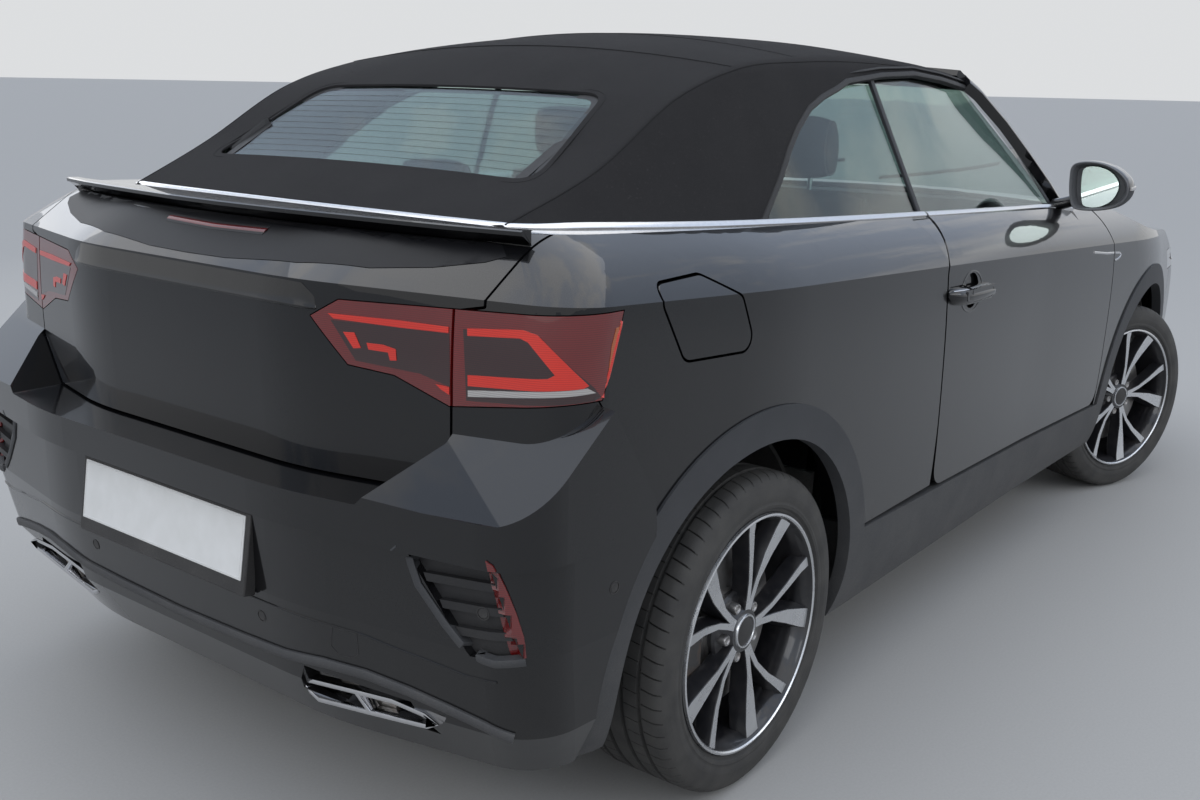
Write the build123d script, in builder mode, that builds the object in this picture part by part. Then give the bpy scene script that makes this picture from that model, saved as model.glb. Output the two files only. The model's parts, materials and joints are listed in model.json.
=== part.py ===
"""Two-door compact SUV with a folding cloth roof: body, doors, lids, glass, cabin, wheels and axles.

Millimetres. +X is forward, +Y is to the driver's left, +Z is up. The origin is on the ground, in the
middle of the overall length and width. The roof is up and the front wheels are turned as parked.
"""

import os
from collections import namedtuple
from math import cos, radians, sin

from build123d import *

os.makedirs("parts", exist_ok=True)

# Overall sizes and the wheels
LENGTH = 4268.0
WHEELBASE = 2630.0
REAR_OVERHANG = 771.0
TRACK = 1546.0
TYRE_R = 331.0
REAR_AXLE_X = -LENGTH / 2 + REAR_OVERHANG
FRONT_AXLE_X = REAR_AXLE_X + WHEELBASE
WHEEL_Y = TRACK / 2
KINGPIN_Y = 690.0
PARKED_STEER = -18.8
STEERING_RATIO = 14.0

# Wheel arches and shut lines
ARCH_INNER_R = 402.0
ARCH_OUTER_R = 472.0
ARCH_Z = 335.0
REAR_ARCH_X = REAR_AXLE_X - 14.0
FRONT_ARCH_X = FRONT_AXLE_X + 6.0
GAP = 5.0
DOOR_FRONT_X = 775.0
DOOR_THICK = 105.0
PANEL = 26.0

# Belt line, where the glass meets the body: height at x = 0 and its rise towards the tail
BELT_Z = 1070.0
BELT_RISE = 0.0448
CREASE_Z = 962.0
CREASE_RISE = 0.05

# One body level: height at x = 0, rise towards the tail, tail x, tail corner x and y, half width at
# the rear arch, the door and the front arch, nose corner x and y, nose x
Level = namedtuple("Level", "z rise tail corner_x corner_y haunch waist wing nose_cx nose_cy nose")
LOWER_LEVELS = [
    Level(232, 0.00, -1960, -1870, 800, 850, 838, 850, 1900, 745, 2034),
    Level(340, 0.00, -2000, -1900, 838, 884, 870, 884, 1955, 785, 2104),
    Level(520, 0.00, -2030, -1915, 850, 902, 886, 900, 1988, 800, 2139),
    Level(710, 0.01, -2045, -1925, 853, 907, 891, 905, 1988, 800, 2137),
    Level(850, 0.03, -2052, -1925, 855, 906, 893, 903, 1965, 790, 2110),
    Level(CREASE_Z, CREASE_RISE, -2048, -1915, 853, 899, 889, 893, 1915, 770, 2050),
]
UPPER_LEVELS = [
    Level(CREASE_Z, CREASE_RISE, -2048, -1915, 853, 899, 889, 893, 1915, 770, 2050),
    Level(1010, 0.048, -1985, -1868, 805, 858, 862, 860, 1850, 742, 1990),
    Level(BELT_Z, BELT_RISE, -1905, -1815, 715, 768, 795, 790, 1740, 690, 1880),
]
TAIL_BEND_Y = 330.0
NOSE_BEND_Y = 400.0
MID_X = 150.0

# Bonnet crown: x, height at the centre, height at 900 mm from the centre
CrownRow = namedtuple("CrownRow", "x centre edge")
BONNET_CROWN = [
    CrownRow(2200, 600, 520),
    CrownRow(2090, 770, 690),
    CrownRow(1960, 862, 785),
    CrownRow(1600, 945, 872),
    CrownRow(1200, 1000, 930),
    CrownRow(560, 1052, 990),
]

# Rear bumper: height, tail x, corner x and y, half width where it meets the arch
BumperRow = namedtuple("BumperRow", "z tail corner_x corner_y side")
BUMPER_LEVELS = [
    BumperRow(240, -2022, -1930, 800, 852),
    BumperRow(340, -2080, -1990, 846, 884),
    BumperRow(500, -2104, -2022, 862, 902),
    BumperRow(662, -2104, -2025, 866, 905),
]
SHELF_T = 28.0
BUMPER_LEDGE = [
    BumperRow(658, -2134, -2045, 868, 905),
    BumperRow(930, -2134, -2045, 868, 905),
]
LEDGE_Z = 733.0
# Sloping shoulder of the bumper below each lamp: a point on it, its outward normal, its rear outline
SHOULDER_POINT = (-2094.0, 605.0, 735.0)
SHOULDER_NORMAL = (-0.641, 0.146, 0.754)
SHOULDER_OUTLINE = [(544, 600), (544, 727), (637, 823), (637, 930), (1000, 930), (1000, 600)]

# Cloth roof sections: x, half width at the belt, edge y and z, crown z, edge radius
RoofRow = namedtuple("RoofRow", "x belt edge_y edge_z crown radius")
ROOF_ROWS = [
    RoofRow(200, 782, 588, 1422, 1456, 40),
    RoofRow(-100, 784, 597, 1449, 1502, 50),
    RoofRow(-450, 784, 602, 1461, 1522, 55),
    RoofRow(-800, 778, 604, 1455, 1514, 45),
    RoofRow(-1080, 762, 604, 1432, 1476, 22),
    RoofRow(-1300, 738, 602, 1370, 1388, 10),
    RoofRow(-1550, 690, 598, 1238, 1252, 10),
    RoofRow(-1760, 640, 566, 1153, 1160, 10),
]
CLOTH = 22.0
GLASS = 5.0
GLASS_INSET = 12.0

# Windscreen: ends and middle of its outer face at the base and at the header
SCREEN_BASE_Z = 1032.0
SCREEN_TOP_Z = 1452.0
SCREEN_BASE = ((652, 752), (912, 0))
SCREEN_TOP = ((150, 585), (222, 0))


def body_plane(z, rise):
    """A level plane that climbs towards the tail by rise for each millimetre."""
    return Plane(origin=(0, 0, z), x_dir=(1, 0, -rise), z_dir=(rise, 0, 1))


def belt_at(x):
    return BELT_Z - BELT_RISE * x


def body_outline(level, inset=0.0):
    """Plan outline of the body at one level."""
    half = [
        (level.tail + inset, TAIL_BEND_Y),
        (level.corner_x + inset, level.corner_y - inset),
        (REAR_AXLE_X, level.haunch - inset),
        (MID_X, level.waist - inset),
        (FRONT_AXLE_X, level.wing - inset),
        (level.nose_cx - inset, level.nose_cy - inset),
        (level.nose - inset, NOSE_BEND_Y),
    ]
    radii = [r * max(0.25, 1 - inset / 90) for r in (800, 130, 2500, 9000, 2500, 240, 800)]
    other = [(x, -y) for x, y in reversed(half)]
    with BuildSketch(body_plane(level.z, level.rise)) as outline:
        with BuildLine():
            FilletPolyline(*half, *other, radius=radii + radii[::-1], close=True)
        make_face()
    return outline.sketch


def bumper_outline(row, inset=0.0):
    """Plan outline of the rear bumper at one level."""
    half = [
        (row.tail + inset, 380),
        (row.corner_x + inset, row.corner_y - inset),
        (-1560, row.side - inset),
    ]
    other = [(x, -y) for x, y in reversed(half)]
    with BuildSketch(Plane.XY.offset(row.z)) as outline:
        with BuildLine():
            FilletPolyline(*half, *other, radius=[900, 120, 0, 0, 120, 900], close=True)
        make_face()
    return outline.sketch


def roof_outline(row, inset=0.0):
    """Cross-section of the roof at one station, down to just under the belt."""
    low = belt_at(row.x) - 40
    edge = (row.edge_y - inset, row.edge_z - inset)
    belt = (row.belt - inset, low)
    with BuildSketch(Plane(origin=(row.x, 0, 0), x_dir=(0, 1, 0), z_dir=(1, 0, 0))) as outline:
        with BuildLine():
            Polyline((-edge[0], edge[1]), (-belt[0], low), belt, edge)
            ThreePointArc(edge, (0, row.crown - inset), (-edge[0], edge[1]))
        make_face()
    return outline.sketch


def screen_face(z, ends, inner, outer):
    """Crescent between two bowed lines, for the windscreen and its frame."""
    (end_x, end_y), (mid_x, _) = ends
    with BuildSketch(Plane.XY.offset(z)) as outline:
        with BuildLine():
            ThreePointArc((end_x - outer, end_y), (mid_x - outer, 0), (end_x - outer, -end_y))
            Line((end_x - outer, -end_y), (end_x - inner, -end_y))
            ThreePointArc((end_x - inner, -end_y), (mid_x - inner, 0), (end_x - inner, end_y))
            Line((end_x - inner, end_y), (end_x - outer, end_y))
        make_face()
    return outline.sketch


def save(part, name):
    """Name one node and write it."""
    part.label = name
    export_step(part, f"parts/{name}.step")


FORMS = {}


def body_halves(inset):
    """The body below and above its shoulder crease, walls moved in by inset."""
    if inset not in FORMS:
        with BuildPart() as lower:
            loft([body_outline(level, inset) for level in LOWER_LEVELS])
        with BuildPart() as upper:
            loft([body_outline(level, inset) for level in UPPER_LEVELS])
        FORMS[inset] = (lower.part, upper.part)
    return FORMS[inset]


def crown_outline(row, drop):
    """Everything above the bonnet's crown at one station."""
    with BuildSketch(Plane(origin=(row.x, 0, 0), x_dir=(0, 1, 0), z_dir=(1, 0, 0))) as outline:
        with BuildLine():
            ThreePointArc((-1000, row.edge - drop), (0, row.centre - drop), (1000, row.edge - drop))
            Polyline((1000, row.edge - drop), (1000, 1700), (-1000, 1700), (-1000, row.edge - drop))
        make_face()
    return outline.sketch


def crown_cutter(drop):
    """Everything above the bonnet's crowned surface, ahead of the cowl, drop below the surface."""
    with BuildPart() as cutter:
        loft([crown_outline(row, drop) for row in BONNET_CROWN])
    return cutter.part


def roof_loft(inset):
    with BuildPart() as shape:
        loft([roof_outline(row, inset) for row in ROOF_ROWS])
    return shape.part


def side_prism(points, low=0.0, high=1200.0, grow=0.0, round_by=0.0):
    """A side-view outline (x, z) run sideways from y = low to y = high."""
    with BuildPart() as prism:
        with BuildSketch(Plane(origin=(0, low, 0), x_dir=(1, 0, 0), z_dir=(0, -1, 0))):
            with BuildLine():
                if round_by:
                    FilletPolyline(*points, radius=round_by, close=True)
                else:
                    Polyline(*points, close=True)
            make_face()
            if grow:
                offset(amount=grow)
        extrude(amount=low - high)
    return prism.part


def end_prism(points, low, high, grow=0.0):
    """A rear-view outline (y, z) run lengthwise from x = low to x = high."""
    with BuildPart() as prism:
        with BuildSketch(Plane(origin=(low, 0, 0), x_dir=(0, 1, 0), z_dir=(1, 0, 0))):
            with BuildLine():
                Polyline(*points, close=True)
            make_face()
            if grow:
                offset(amount=grow)
        extrude(amount=high - low)
    return prism.part


def plan_prism(points, low, high, grow=0.0, round_by=0.0):
    """A plan outline (x, y) run upwards from z = low to z = high."""
    with BuildPart() as prism:
        with BuildSketch(Plane.XY.offset(low)):
            with BuildLine():
                if round_by:
                    FilletPolyline(*points, radius=round_by, close=True)
                else:
                    Polyline(*points, close=True)
            make_face()
            if grow:
                offset(amount=grow)
        extrude(amount=high - low)
    return prism.part


def both_ends(points):
    """Rear-view outline points (y, z) of the left half followed by the right half."""
    return list(points) + [(-y, z) for y, z in reversed(points)]


def arch(x, radius, low=400.0, high=1200.0):
    """A round wheel arch, open downwards."""
    with BuildPart() as hole:
        with BuildSketch(Plane(origin=(0, low, 0), x_dir=(1, 0, 0), z_dir=(0, -1, 0))):
            with Locations((x, ARCH_Z)):
                Circle(radius)
            with Locations((x, ARCH_Z - 200)):
                Rectangle(2 * radius, 400)
        extrude(amount=low - high)
    return hole.part


def clipped(form, zone, crown):
    """A form inside a zone and below the bonnet's crown; None where they don't meet."""
    with BuildPart() as piece:
        add(form)
        add(zone, mode=Mode.INTERSECT)
        if crown is not None:
            add(crown, mode=Mode.SUBTRACT)
    return piece.part


def crease_side(zone):
    """Which halves of the body a zone reaches: below the crease, above it, or both."""
    box = zone.bounding_box()
    halves = []
    if box.min.Z < CREASE_Z - CREASE_RISE * box.min.X:
        halves.append(0)
    if box.max.Z > CREASE_Z - CREASE_RISE * box.max.X:
        halves.append(1)
    return halves


def solid_piece(zone, inset=5, crown=None):
    """The whole body inside a zone."""
    with BuildPart() as joined:
        for half in crease_side(zone):
            add(clipped(body_halves(inset)[half], zone, crown))
    return joined.part


def wall_piece(zone, inset, shell_inset=5, crown=None, inner_crown=None):
    """The body wall inside a zone, between its outer surface and a surface moved in by inset."""
    with BuildPart() as joined:
        for half in crease_side(zone):
            filled = clipped(body_halves(shell_inset)[half], zone, crown)
            core = clipped(body_halves(inset)[half], zone, inner_crown)
            add(filled - core)
    return joined.part


# Whole forms: the painted outside and the cabin's inside
crown = crown_cutter(0)
crown_deep = crown_cutter(30)
everywhere = plan_prism([(-2500, -1200), (2500, -1200), (2500, 1200), (-2500, 1200)], 0, 1600)
with BuildPart() as outer:
    add(solid_piece(everywhere, 5, crown))
with BuildPart() as inner_thick:
    add(solid_piece(everywhere, DOOR_THICK + 5, crown_deep))

# Doors: outline in side view, drawn at the skin and narrowing inwards so that the edges swing clear
DOOR_OUTLINE = [
    (-528, 431), (DOOR_FRONT_X, 394), (DOOR_FRONT_X, 1200), (-449, 1200), (-449, 1092), (-556, 985),
    (-556, 900),
]
DOOR_CORNERS = [60, 50, 0, 0, 30, 60, 60]
DOOR_SKIN_Y = 893.0
DOOR_TAPER = 5.0
PILLAR_FOOT_Y = 764.0
with BuildPart() as door_block:
    for amount, taper in ((-110, 0), (250, DOOR_TAPER)):
        with BuildSketch(Plane(origin=(0, DOOR_SKIN_Y, 0), x_dir=(1, 0, 0), z_dir=(0, -1, 0))):
            with BuildLine():
                FilletPolyline(*DOOR_OUTLINE, radius=DOOR_CORNERS, close=True)
            make_face()
        extrude(amount=amount, taper=taper)
    with Locations((720, PILLAR_FOOT_Y - 250, 1000)):
        Box(330, 500, 500, mode=Mode.SUBTRACT)
HANDLE = [(-505, 901), (-505, 929), (-312, 925), (-312, 903)]
HANDLE_OUT_Y = 922.0
HANDLE_BAR_T = 17.0
with BuildPart() as handle:
    add(side_prism(HANDLE, DOOR_SKIN_Y - 23, HANDLE_OUT_Y, round_by=9))
    with Locations((-408, HANDLE_OUT_Y - HANDLE_BAR_T - 21, 915)):
        Box(150, 42, 60, mode=Mode.SUBTRACT)
with BuildPart() as door_left:
    add(wall_piece(door_block.part, DOOR_THICK + 5, crown=crown, inner_crown=crown_deep))
    with Locations(Location((-408, DOOR_SKIN_Y, 915), (90, 0, 0))):
        Cylinder(44, 24, mode=Mode.SUBTRACT)
    add(handle.part)
with BuildPart() as door_hole:
    with BuildSketch(Plane(origin=(0, 600, 0), x_dir=(1, 0, 0), z_dir=(0, -1, 0))):
        with BuildLine():
            FilletPolyline(*DOOR_OUTLINE, radius=DOOR_CORNERS, close=True)
        make_face()
        offset(amount=GAP + 2)
    extrude(amount=-400)
door_hole = door_hole.part
save(door_left.part, "door_left")
save(mirror(door_left.part, about=Plane.XZ), "door_right")

# Bonnet
BONNET_T = 32.0
HINGE_PIN_R = 4.0
BARREL_R = 7.0
BONNET_PLAN = [
    (945, 0), (915, 250), (850, 480), (705, 742), (1200, 768), (1640, 742), (1850, 650), (1960, 420),
    (2000, 0),
]
bonnet_points = BONNET_PLAN + [(x, -y) for x, y in reversed(BONNET_PLAN[1:-1])]
bonnet_zone = plan_prism(bonnet_points, 700, 1200)
with BuildPart() as bonnet_core_cut:
    add(crown_deep)
    with BuildSketch(body_plane(BELT_Z - BONNET_T, BELT_RISE)):
        Rectangle(6000, 3000)
    extrude(amount=400)
with BuildPart() as bonnet:
    add(wall_piece(bonnet_zone, PANEL + 5, crown=crown, inner_crown=bonnet_core_cut.part))
save(bonnet.part, "bonnet")
bonnet_hole = plan_prism(bonnet_points, 600, 1200, grow=GAP)

# Lamps, lid, bumper and arch outlines
TAIL_LAMP = [
    (368, 1004), (424, 1036), (643, 1040), (1000, 1046), (1000, 912), (870, 906), (636, 880), (533, 920),
    (443, 928),
]
LAMP_SPLIT_Y = 640.0
LAMP_SIDE = [(-1796, 1100), (-1796, 1046), (-1852, 890), (-2300, 800), (-2300, 1100)]
LID_OUTLINE = [(692, 1250), (692, 1050), (640, 1040), (636, 822), (545, 728)]
LID_FRONT_X = -1788.0
LID_HINGE_X = -1775.0
LID_HINGE_Z = 1140.0
HINGE_Y = 500.0
REAR_BUMPER_SIDE = [(-2400, 190), (-1690, 190), (-1737, 715), (-1856, 905), (-1900, 1000), (-2400, 1000)]
FRONT_BUMPER_SIDE = [
    (2400, 190), (1640, 190), (1690, 560), (1765, 728), (1790, 790), (1955, 838), (2400, 838),
]
HEADLAMP = [(430, 722), (445, 778), (640, 796), (1000, 822), (1000, 762), (640, 716)]
HEADLAMP_REAR_X = 1690.0
GRILLE = [(410, 640), (425, 770), (-425, 770), (-410, 640)]
INTAKE = [(560, 300), (600, 470), (-600, 470), (-560, 300)]
FUEL_FLAP = [(-1712, 1070), (-1560, 1074), (-1478, 1030), (-1440, 930), (-1640, 938)]

with BuildPart() as lamp_zone:
    add(end_prism(TAIL_LAMP, -2300, -1700))
    add(side_prism(LAMP_SIDE, 0, 1100), mode=Mode.INTERSECT)
with BuildPart() as lamp_hole:
    add(end_prism(TAIL_LAMP, -2300, -1700, grow=2))
    add(side_prism(LAMP_SIDE, 0, 1100, grow=2), mode=Mode.INTERSECT)
with BuildPart() as lamp_solid:
    add(wall_piece(lamp_zone.part, 75))
lamp_socket = wall_piece(lamp_hole.part, 75, shell_inset=0)
with BuildPart() as lamp_outer_half:
    add(lamp_solid.part)
    with Locations((-2000, LAMP_SPLIT_Y - 500 + GAP / 2, 1000)):
        Box(1200, 1000, 1000, mode=Mode.SUBTRACT)
with BuildPart() as lamp_inner_half:
    add(lamp_solid.part)
    with Locations((-2000, LAMP_SPLIT_Y + 500 - GAP / 2, 1000)):
        Box(1200, 1000, 1000, mode=Mode.SUBTRACT)
with BuildPart() as tail_lamps:
    add(lamp_outer_half.part)
    add(mirror(lamp_outer_half.part, about=Plane.XZ))
with BuildPart() as lid_lamps:
    add(lamp_inner_half.part)
    add(mirror(lamp_inner_half.part, about=Plane.XZ))
save(tail_lamps.part, "tail_lamps")
save(lid_lamps.part, "lid_lamps")

# Boot lid with its spoiler
SPOILER_PLAN = [(-1835, 690), (-1858, 694), (-1890, 554), (-1925, 300), (-1948, 0)]
spoiler_points = [(SPOILER_PLAN[0][0], -SPOILER_PLAN[0][1])] + SPOILER_PLAN
spoiler_points += [(x, -y) for x, y in reversed(SPOILER_PLAN[1:-1])]
with BuildPart() as spoiler:
    with BuildSketch(body_plane(BELT_Z - 18, BELT_RISE)):
        with BuildLine():
            Polyline(*spoiler_points, close=True)
        make_face()
    extrude(amount=26)
lid_zone = end_prism(both_ends(LID_OUTLINE), -2400, LID_FRONT_X)
lid_hole = end_prism(both_ends(LID_OUTLINE), -2400, LID_FRONT_X + GAP, grow=GAP)
with BuildPart() as lid_cavity:
    add(solid_piece(lid_zone, 95))
    with BuildSketch(body_plane(BELT_Z - 32, BELT_RISE)):
        Rectangle(6000, 3000)
    extrude(amount=400, mode=Mode.SUBTRACT)
with BuildPart() as boot_lid:
    add(solid_piece(lid_zone))
    add(lid_cavity.part, mode=Mode.SUBTRACT)
    add(lamp_socket, mode=Mode.SUBTRACT)
    add(mirror(lamp_socket, about=Plane.XZ), mode=Mode.SUBTRACT)
    add(spoiler.part, mode=Mode.SUBTRACT)
    for y in (-HINGE_Y, HINGE_Y):
        with Locations(Location((LID_HINGE_X, y, LID_HINGE_Z), (90, 0, 0))):
            Cylinder(BARREL_R, 60)
        with Locations((LID_HINGE_X - 10, y, LID_HINGE_Z)):
            Box(20, 60, 14)
        with Locations(Location((LID_HINGE_X, y, LID_HINGE_Z), (90, 0, 0))):
            Cylinder(HINGE_PIN_R + 0.05, 70, mode=Mode.SUBTRACT)
save(boot_lid.part, "boot_lid")
save(spoiler.part, "boot_spoiler")

# Quarter panels, with the pocket behind the fuel flap on the right
rear_side_zone = side_prism(REAR_BUMPER_SIDE, -1200, 1200)
rear_side_cut = side_prism(REAR_BUMPER_SIDE, 0, 1200, grow=3)
quarter_zone = plan_prism([(-2460, 250), (-545, 250), (-545, 1250), (-2460, 1250)], 355, 1305)
with BuildPart() as quarter:
    add(wall_piece(quarter_zone, DOOR_THICK + 5))
    add(door_hole, mode=Mode.SUBTRACT)
    add(rear_side_cut, mode=Mode.SUBTRACT)
    add(lamp_socket, mode=Mode.SUBTRACT)
    add(lid_hole, mode=Mode.SUBTRACT)
    add(arch(REAR_ARCH_X, ARCH_OUTER_R), mode=Mode.SUBTRACT)
    with Locations((LID_HINGE_X - 2, HINGE_Y - 96, LID_HINGE_Z - 8)):
        Box(54, 296, 70, mode=Mode.SUBTRACT)
    with Locations((-800, 750, 300)):
        Box(600, 1000, 284, mode=Mode.SUBTRACT)
with BuildPart() as pocket:
    add(wall_piece(side_prism(FUEL_FLAP, -1000, -600, grow=5, round_by=26), 52))
with BuildPart() as fuel_flap:
    add(wall_piece(side_prism(FUEL_FLAP, -1000, -600, round_by=26), 15))
with BuildPart() as filler_zone:
    with Locations(Location((-1590, -800, 1000), (90, 0, 0))):
        Cylinder(34, 400)
with BuildPart() as quarter_right:
    add(mirror(quarter.part, about=Plane.XZ))
    add(pocket.part, mode=Mode.SUBTRACT)
    add(wall_piece(filler_zone.part, 60, shell_inset=15))
save(quarter.part, "quarter_left")
save(quarter_right.part, "quarter_right")
save(fuel_flap.part, "fuel_flap")

# Wings, front bumper, headlamps and grilles
front_side_zone = side_prism(FRONT_BUMPER_SIDE, -1200, 1200)
front_side_cut = side_prism(FRONT_BUMPER_SIDE, 0, 1200, grow=3)
lamp_front = end_prism(HEADLAMP, HEADLAMP_REAR_X, 2300)
lamp_front_hole = end_prism(HEADLAMP, HEADLAMP_REAR_X, 2300, grow=2)
WING_PLAN = [(780, 670), (905, 670), (905, 400), (2020, 400), (2020, 1200), (780, 1200)]
wing_zone = plan_prism(WING_PLAN, 389, 1219)
with BuildPart() as wing:
    add(wall_piece(wing_zone, PANEL + 5, crown=crown, inner_crown=crown_deep))
    add(front_side_cut, mode=Mode.SUBTRACT)
    add(lamp_front_hole, mode=Mode.SUBTRACT)
    add(bonnet_hole, mode=Mode.SUBTRACT)
    add(arch(FRONT_ARCH_X, ARCH_OUTER_R), mode=Mode.SUBTRACT)
save(wing.part, "wing_left")
save(mirror(wing.part, about=Plane.XZ), "wing_right")
with BuildPart() as headlamp:
    add(wall_piece(lamp_front, 90, crown=crown, inner_crown=crown_deep))
    add(bonnet_hole, mode=Mode.SUBTRACT)
with BuildPart() as headlamps:
    add(headlamp.part)
    add(mirror(headlamp.part, about=Plane.XZ))
save(headlamps.part, "headlamps")
with BuildPart() as front_bumper:
    add(wall_piece(front_side_zone, 40, crown=crown, inner_crown=crown_deep))
    add(lamp_front_hole, mode=Mode.SUBTRACT)
    add(mirror(lamp_front_hole, about=Plane.XZ), mode=Mode.SUBTRACT)
    add(bonnet_hole, mode=Mode.SUBTRACT)
    add(arch(FRONT_ARCH_X, ARCH_OUTER_R, -1200), mode=Mode.SUBTRACT)
    add(end_prism(GRILLE, 1800, 2300), mode=Mode.SUBTRACT)
    add(end_prism(INTAKE, 1800, 2300), mode=Mode.SUBTRACT)
save(front_bumper.part, "front_bumper")
with BuildPart() as grille_zone:
    add(end_prism(GRILLE, 1800, 2300))
    add(end_prism(INTAKE, 1800, 2300))
with BuildPart() as grilles:
    add(wall_piece(grille_zone.part, 38, shell_inset=20))
save(grilles.part, "grilles")

# Rear bumper with its ledge, shoulders and vents, and the valance below it
REAR_VALANCE = [(-700, 190), (-640, 292), (-560, 452), (560, 452), (640, 292), (700, 190)]
EXHAUST_HOLE = [(640, 296), (625, 362), (372, 372), (345, 312)]
VENT = [(622, 655), (784, 664), (832, 500), (745, 492)]
VENT_DEPTH = 22.0
VENT_FACE = 14.0
VENT_RIBS = 3
RIB_FACE = 3.0
RIB_BACK = 18.0
with BuildPart() as bumper_lower:
    loft([bumper_outline(row) for row in BUMPER_LEVELS], ruled=True)
with BuildPart() as bumper_upper:
    loft([bumper_outline(row) for row in BUMPER_LEDGE], ruled=True)
with BuildPart() as shelf:
    add(bumper_upper.part)
    with BuildSketch(Plane.XY.offset(LEDGE_Z)):
        Rectangle(6000, 3000)
    extrude(amount=400, mode=Mode.SUBTRACT)
with BuildPart() as shoulder:
    add(bumper_upper.part)
    add(end_prism(SHOULDER_OUTLINE, -2300, -1700), mode=Mode.INTERSECT)
    with BuildSketch(Plane(origin=SHOULDER_POINT, z_dir=SHOULDER_NORMAL)):
        Rectangle(3000, 3000)
    extrude(amount=600, mode=Mode.SUBTRACT)
with BuildPart() as rear_form:
    add(bumper_lower.part)
    add(shelf.part)
    add(shoulder.part)
    add(mirror(shoulder.part, about=Plane.XZ))
with BuildPart() as rear_inner:
    inner_rows = BUMPER_LEVELS[:-1] + [BUMPER_LEVELS[-1]._replace(z=LEDGE_Z - SHELF_T)]
    loft([bumper_outline(row, 42) for row in inner_rows], ruled=True)
with BuildPart() as above_shelf:
    add(rear_side_zone)
    with Locations((-1900, 0, LEDGE_Z - SHELF_T - 250)):
        Box(1400, 3000, 500, mode=Mode.SUBTRACT)
with BuildPart() as body_skin:
    add(solid_piece(above_shelf.part))
    add(solid_piece(above_shelf.part, 40), mode=Mode.SUBTRACT)


def vent_skin(outline, outer_by, inner_by):
    """The bumper's lower skin inside a rear-view outline, between two depths."""
    with BuildPart() as skin:
        loft([bumper_outline(row, outer_by) for row in BUMPER_LEVELS], ruled=True)
        loft([bumper_outline(row, inner_by) for row in BUMPER_LEVELS], ruled=True, mode=Mode.SUBTRACT)
        add(end_prism(outline, -2300, -1700), mode=Mode.INTERSECT)
    return skin.part


with BuildPart() as bumper_wall:
    add(rear_form.part)
    add(rear_inner.part, mode=Mode.SUBTRACT)
    add(rear_side_zone, mode=Mode.INTERSECT)
    add(body_skin.part)
    with Locations((-1900, 0, 200)):
        Box(600, 2000, 80, mode=Mode.SUBTRACT)
    add(arch(REAR_ARCH_X, ARCH_OUTER_R, -1200), mode=Mode.SUBTRACT)
valance_zone = end_prism(REAR_VALANCE, -2300, -1700)
with BuildPart() as rear_bumper:
    add(bumper_wall.part)
    add(lamp_hole.part, mode=Mode.SUBTRACT)
    add(mirror(lamp_hole.part, about=Plane.XZ), mode=Mode.SUBTRACT)
    add(lid_hole, mode=Mode.SUBTRACT)
    add(valance_zone, mode=Mode.SUBTRACT)
    for outline in (VENT, [(-y, z) for y, z in VENT]):
        add(vent_skin(outline, 0, VENT_DEPTH), mode=Mode.SUBTRACT)
with BuildPart() as rear_valance:
    add(bumper_wall.part)
    add(valance_zone, mode=Mode.INTERSECT)
    add(end_prism(EXHAUST_HOLE, -2300, -1700), mode=Mode.SUBTRACT)
    add(mirror(end_prism(EXHAUST_HOLE, -2300, -1700), about=Plane.XZ), mode=Mode.SUBTRACT)
with BuildPart() as vent_left:
    add(vent_skin(VENT, VENT_FACE, VENT_DEPTH - 0.3))
    (top_in, top_out, low_out, low_in) = VENT
    for rib in range(1, VENT_RIBS + 1):
        along = rib / (VENT_RIBS + 1)
        inner_y = top_in[0] + (low_in[0] - top_in[0]) * along
        outer_y = top_out[0] + (low_out[0] - top_out[0]) * along
        z = top_in[1] + (low_in[1] - top_in[1]) * along
        rib_outline = [
            (inner_y + 3, z + 5), (outer_y - 6, z + 13), (outer_y - 4, z - 1), (inner_y + 9, z - 9),
        ]
        add(vent_skin(rib_outline, RIB_FACE, RIB_BACK))
with BuildPart() as vents:
    add(vent_left.part)
    add(mirror(vent_left.part, about=Plane.XZ))
save(vents.part, "vents")
save(rear_bumper.part, "rear_bumper")
save(rear_valance.part, "rear_valance")

# Deck beam under the cloth's rear edge, with the lid's hinge pins
with BuildPart() as rear_deck:
    with Locations((-1730, 0, 1125)):
        Box(64, 1500, 80)
    add(inner_thick.part, mode=Mode.INTERSECT)
    for y in (-HINGE_Y, HINGE_Y):
        for ear in (-38, 38):
            with Locations((LID_HINGE_X + 4, y + ear, 1131)):
                Box(22, 12, 32)
        with Locations(Location((LID_HINGE_X, y, LID_HINGE_Z), (90, 0, 0))):
            Cylinder(HINGE_PIN_R, 88)
save(rear_deck.part, "rear_deck")

# Wheel-arch and sill cladding, one strip a side, and the sills behind it
SILL_TOP = [(-1000, 444 - GAP), (900, 390 - GAP - 1)]
SIDE_PLANE = Plane(origin=(0, 600, 0), x_dir=(1, 0, 0), z_dir=(0, -1, 0))
with BuildPart() as cladding_zone:
    with BuildSketch(SIDE_PLANE):
        for x in (REAR_ARCH_X, FRONT_ARCH_X):
            with Locations((x, ARCH_Z)):
                Circle(ARCH_OUTER_R)
            with Locations((x, 50)):
                Rectangle(1200, 300, mode=Mode.SUBTRACT)
        with BuildLine():
            Polyline((-1000, 200), *SILL_TOP, (900, 200), close=True)
        make_face()
        for x in (REAR_ARCH_X, FRONT_ARCH_X):
            with Locations((x, ARCH_Z)):
                Circle(ARCH_INNER_R, mode=Mode.SUBTRACT)
    extrude(amount=-400)
with BuildPart() as cladding:
    add(wall_piece(cladding_zone.part, 30, shell_inset=0))
save(cladding.part, "cladding_left")
save(mirror(cladding.part, about=Plane.XZ), "cladding_right")
SILL_INNER = [(-930, 200), (-930, SILL_TOP[0][1] - 2), (850, SILL_TOP[1][1] + 1), (850, 200)]
sill_zone = side_prism(SILL_INNER, 0, 1200)
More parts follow.
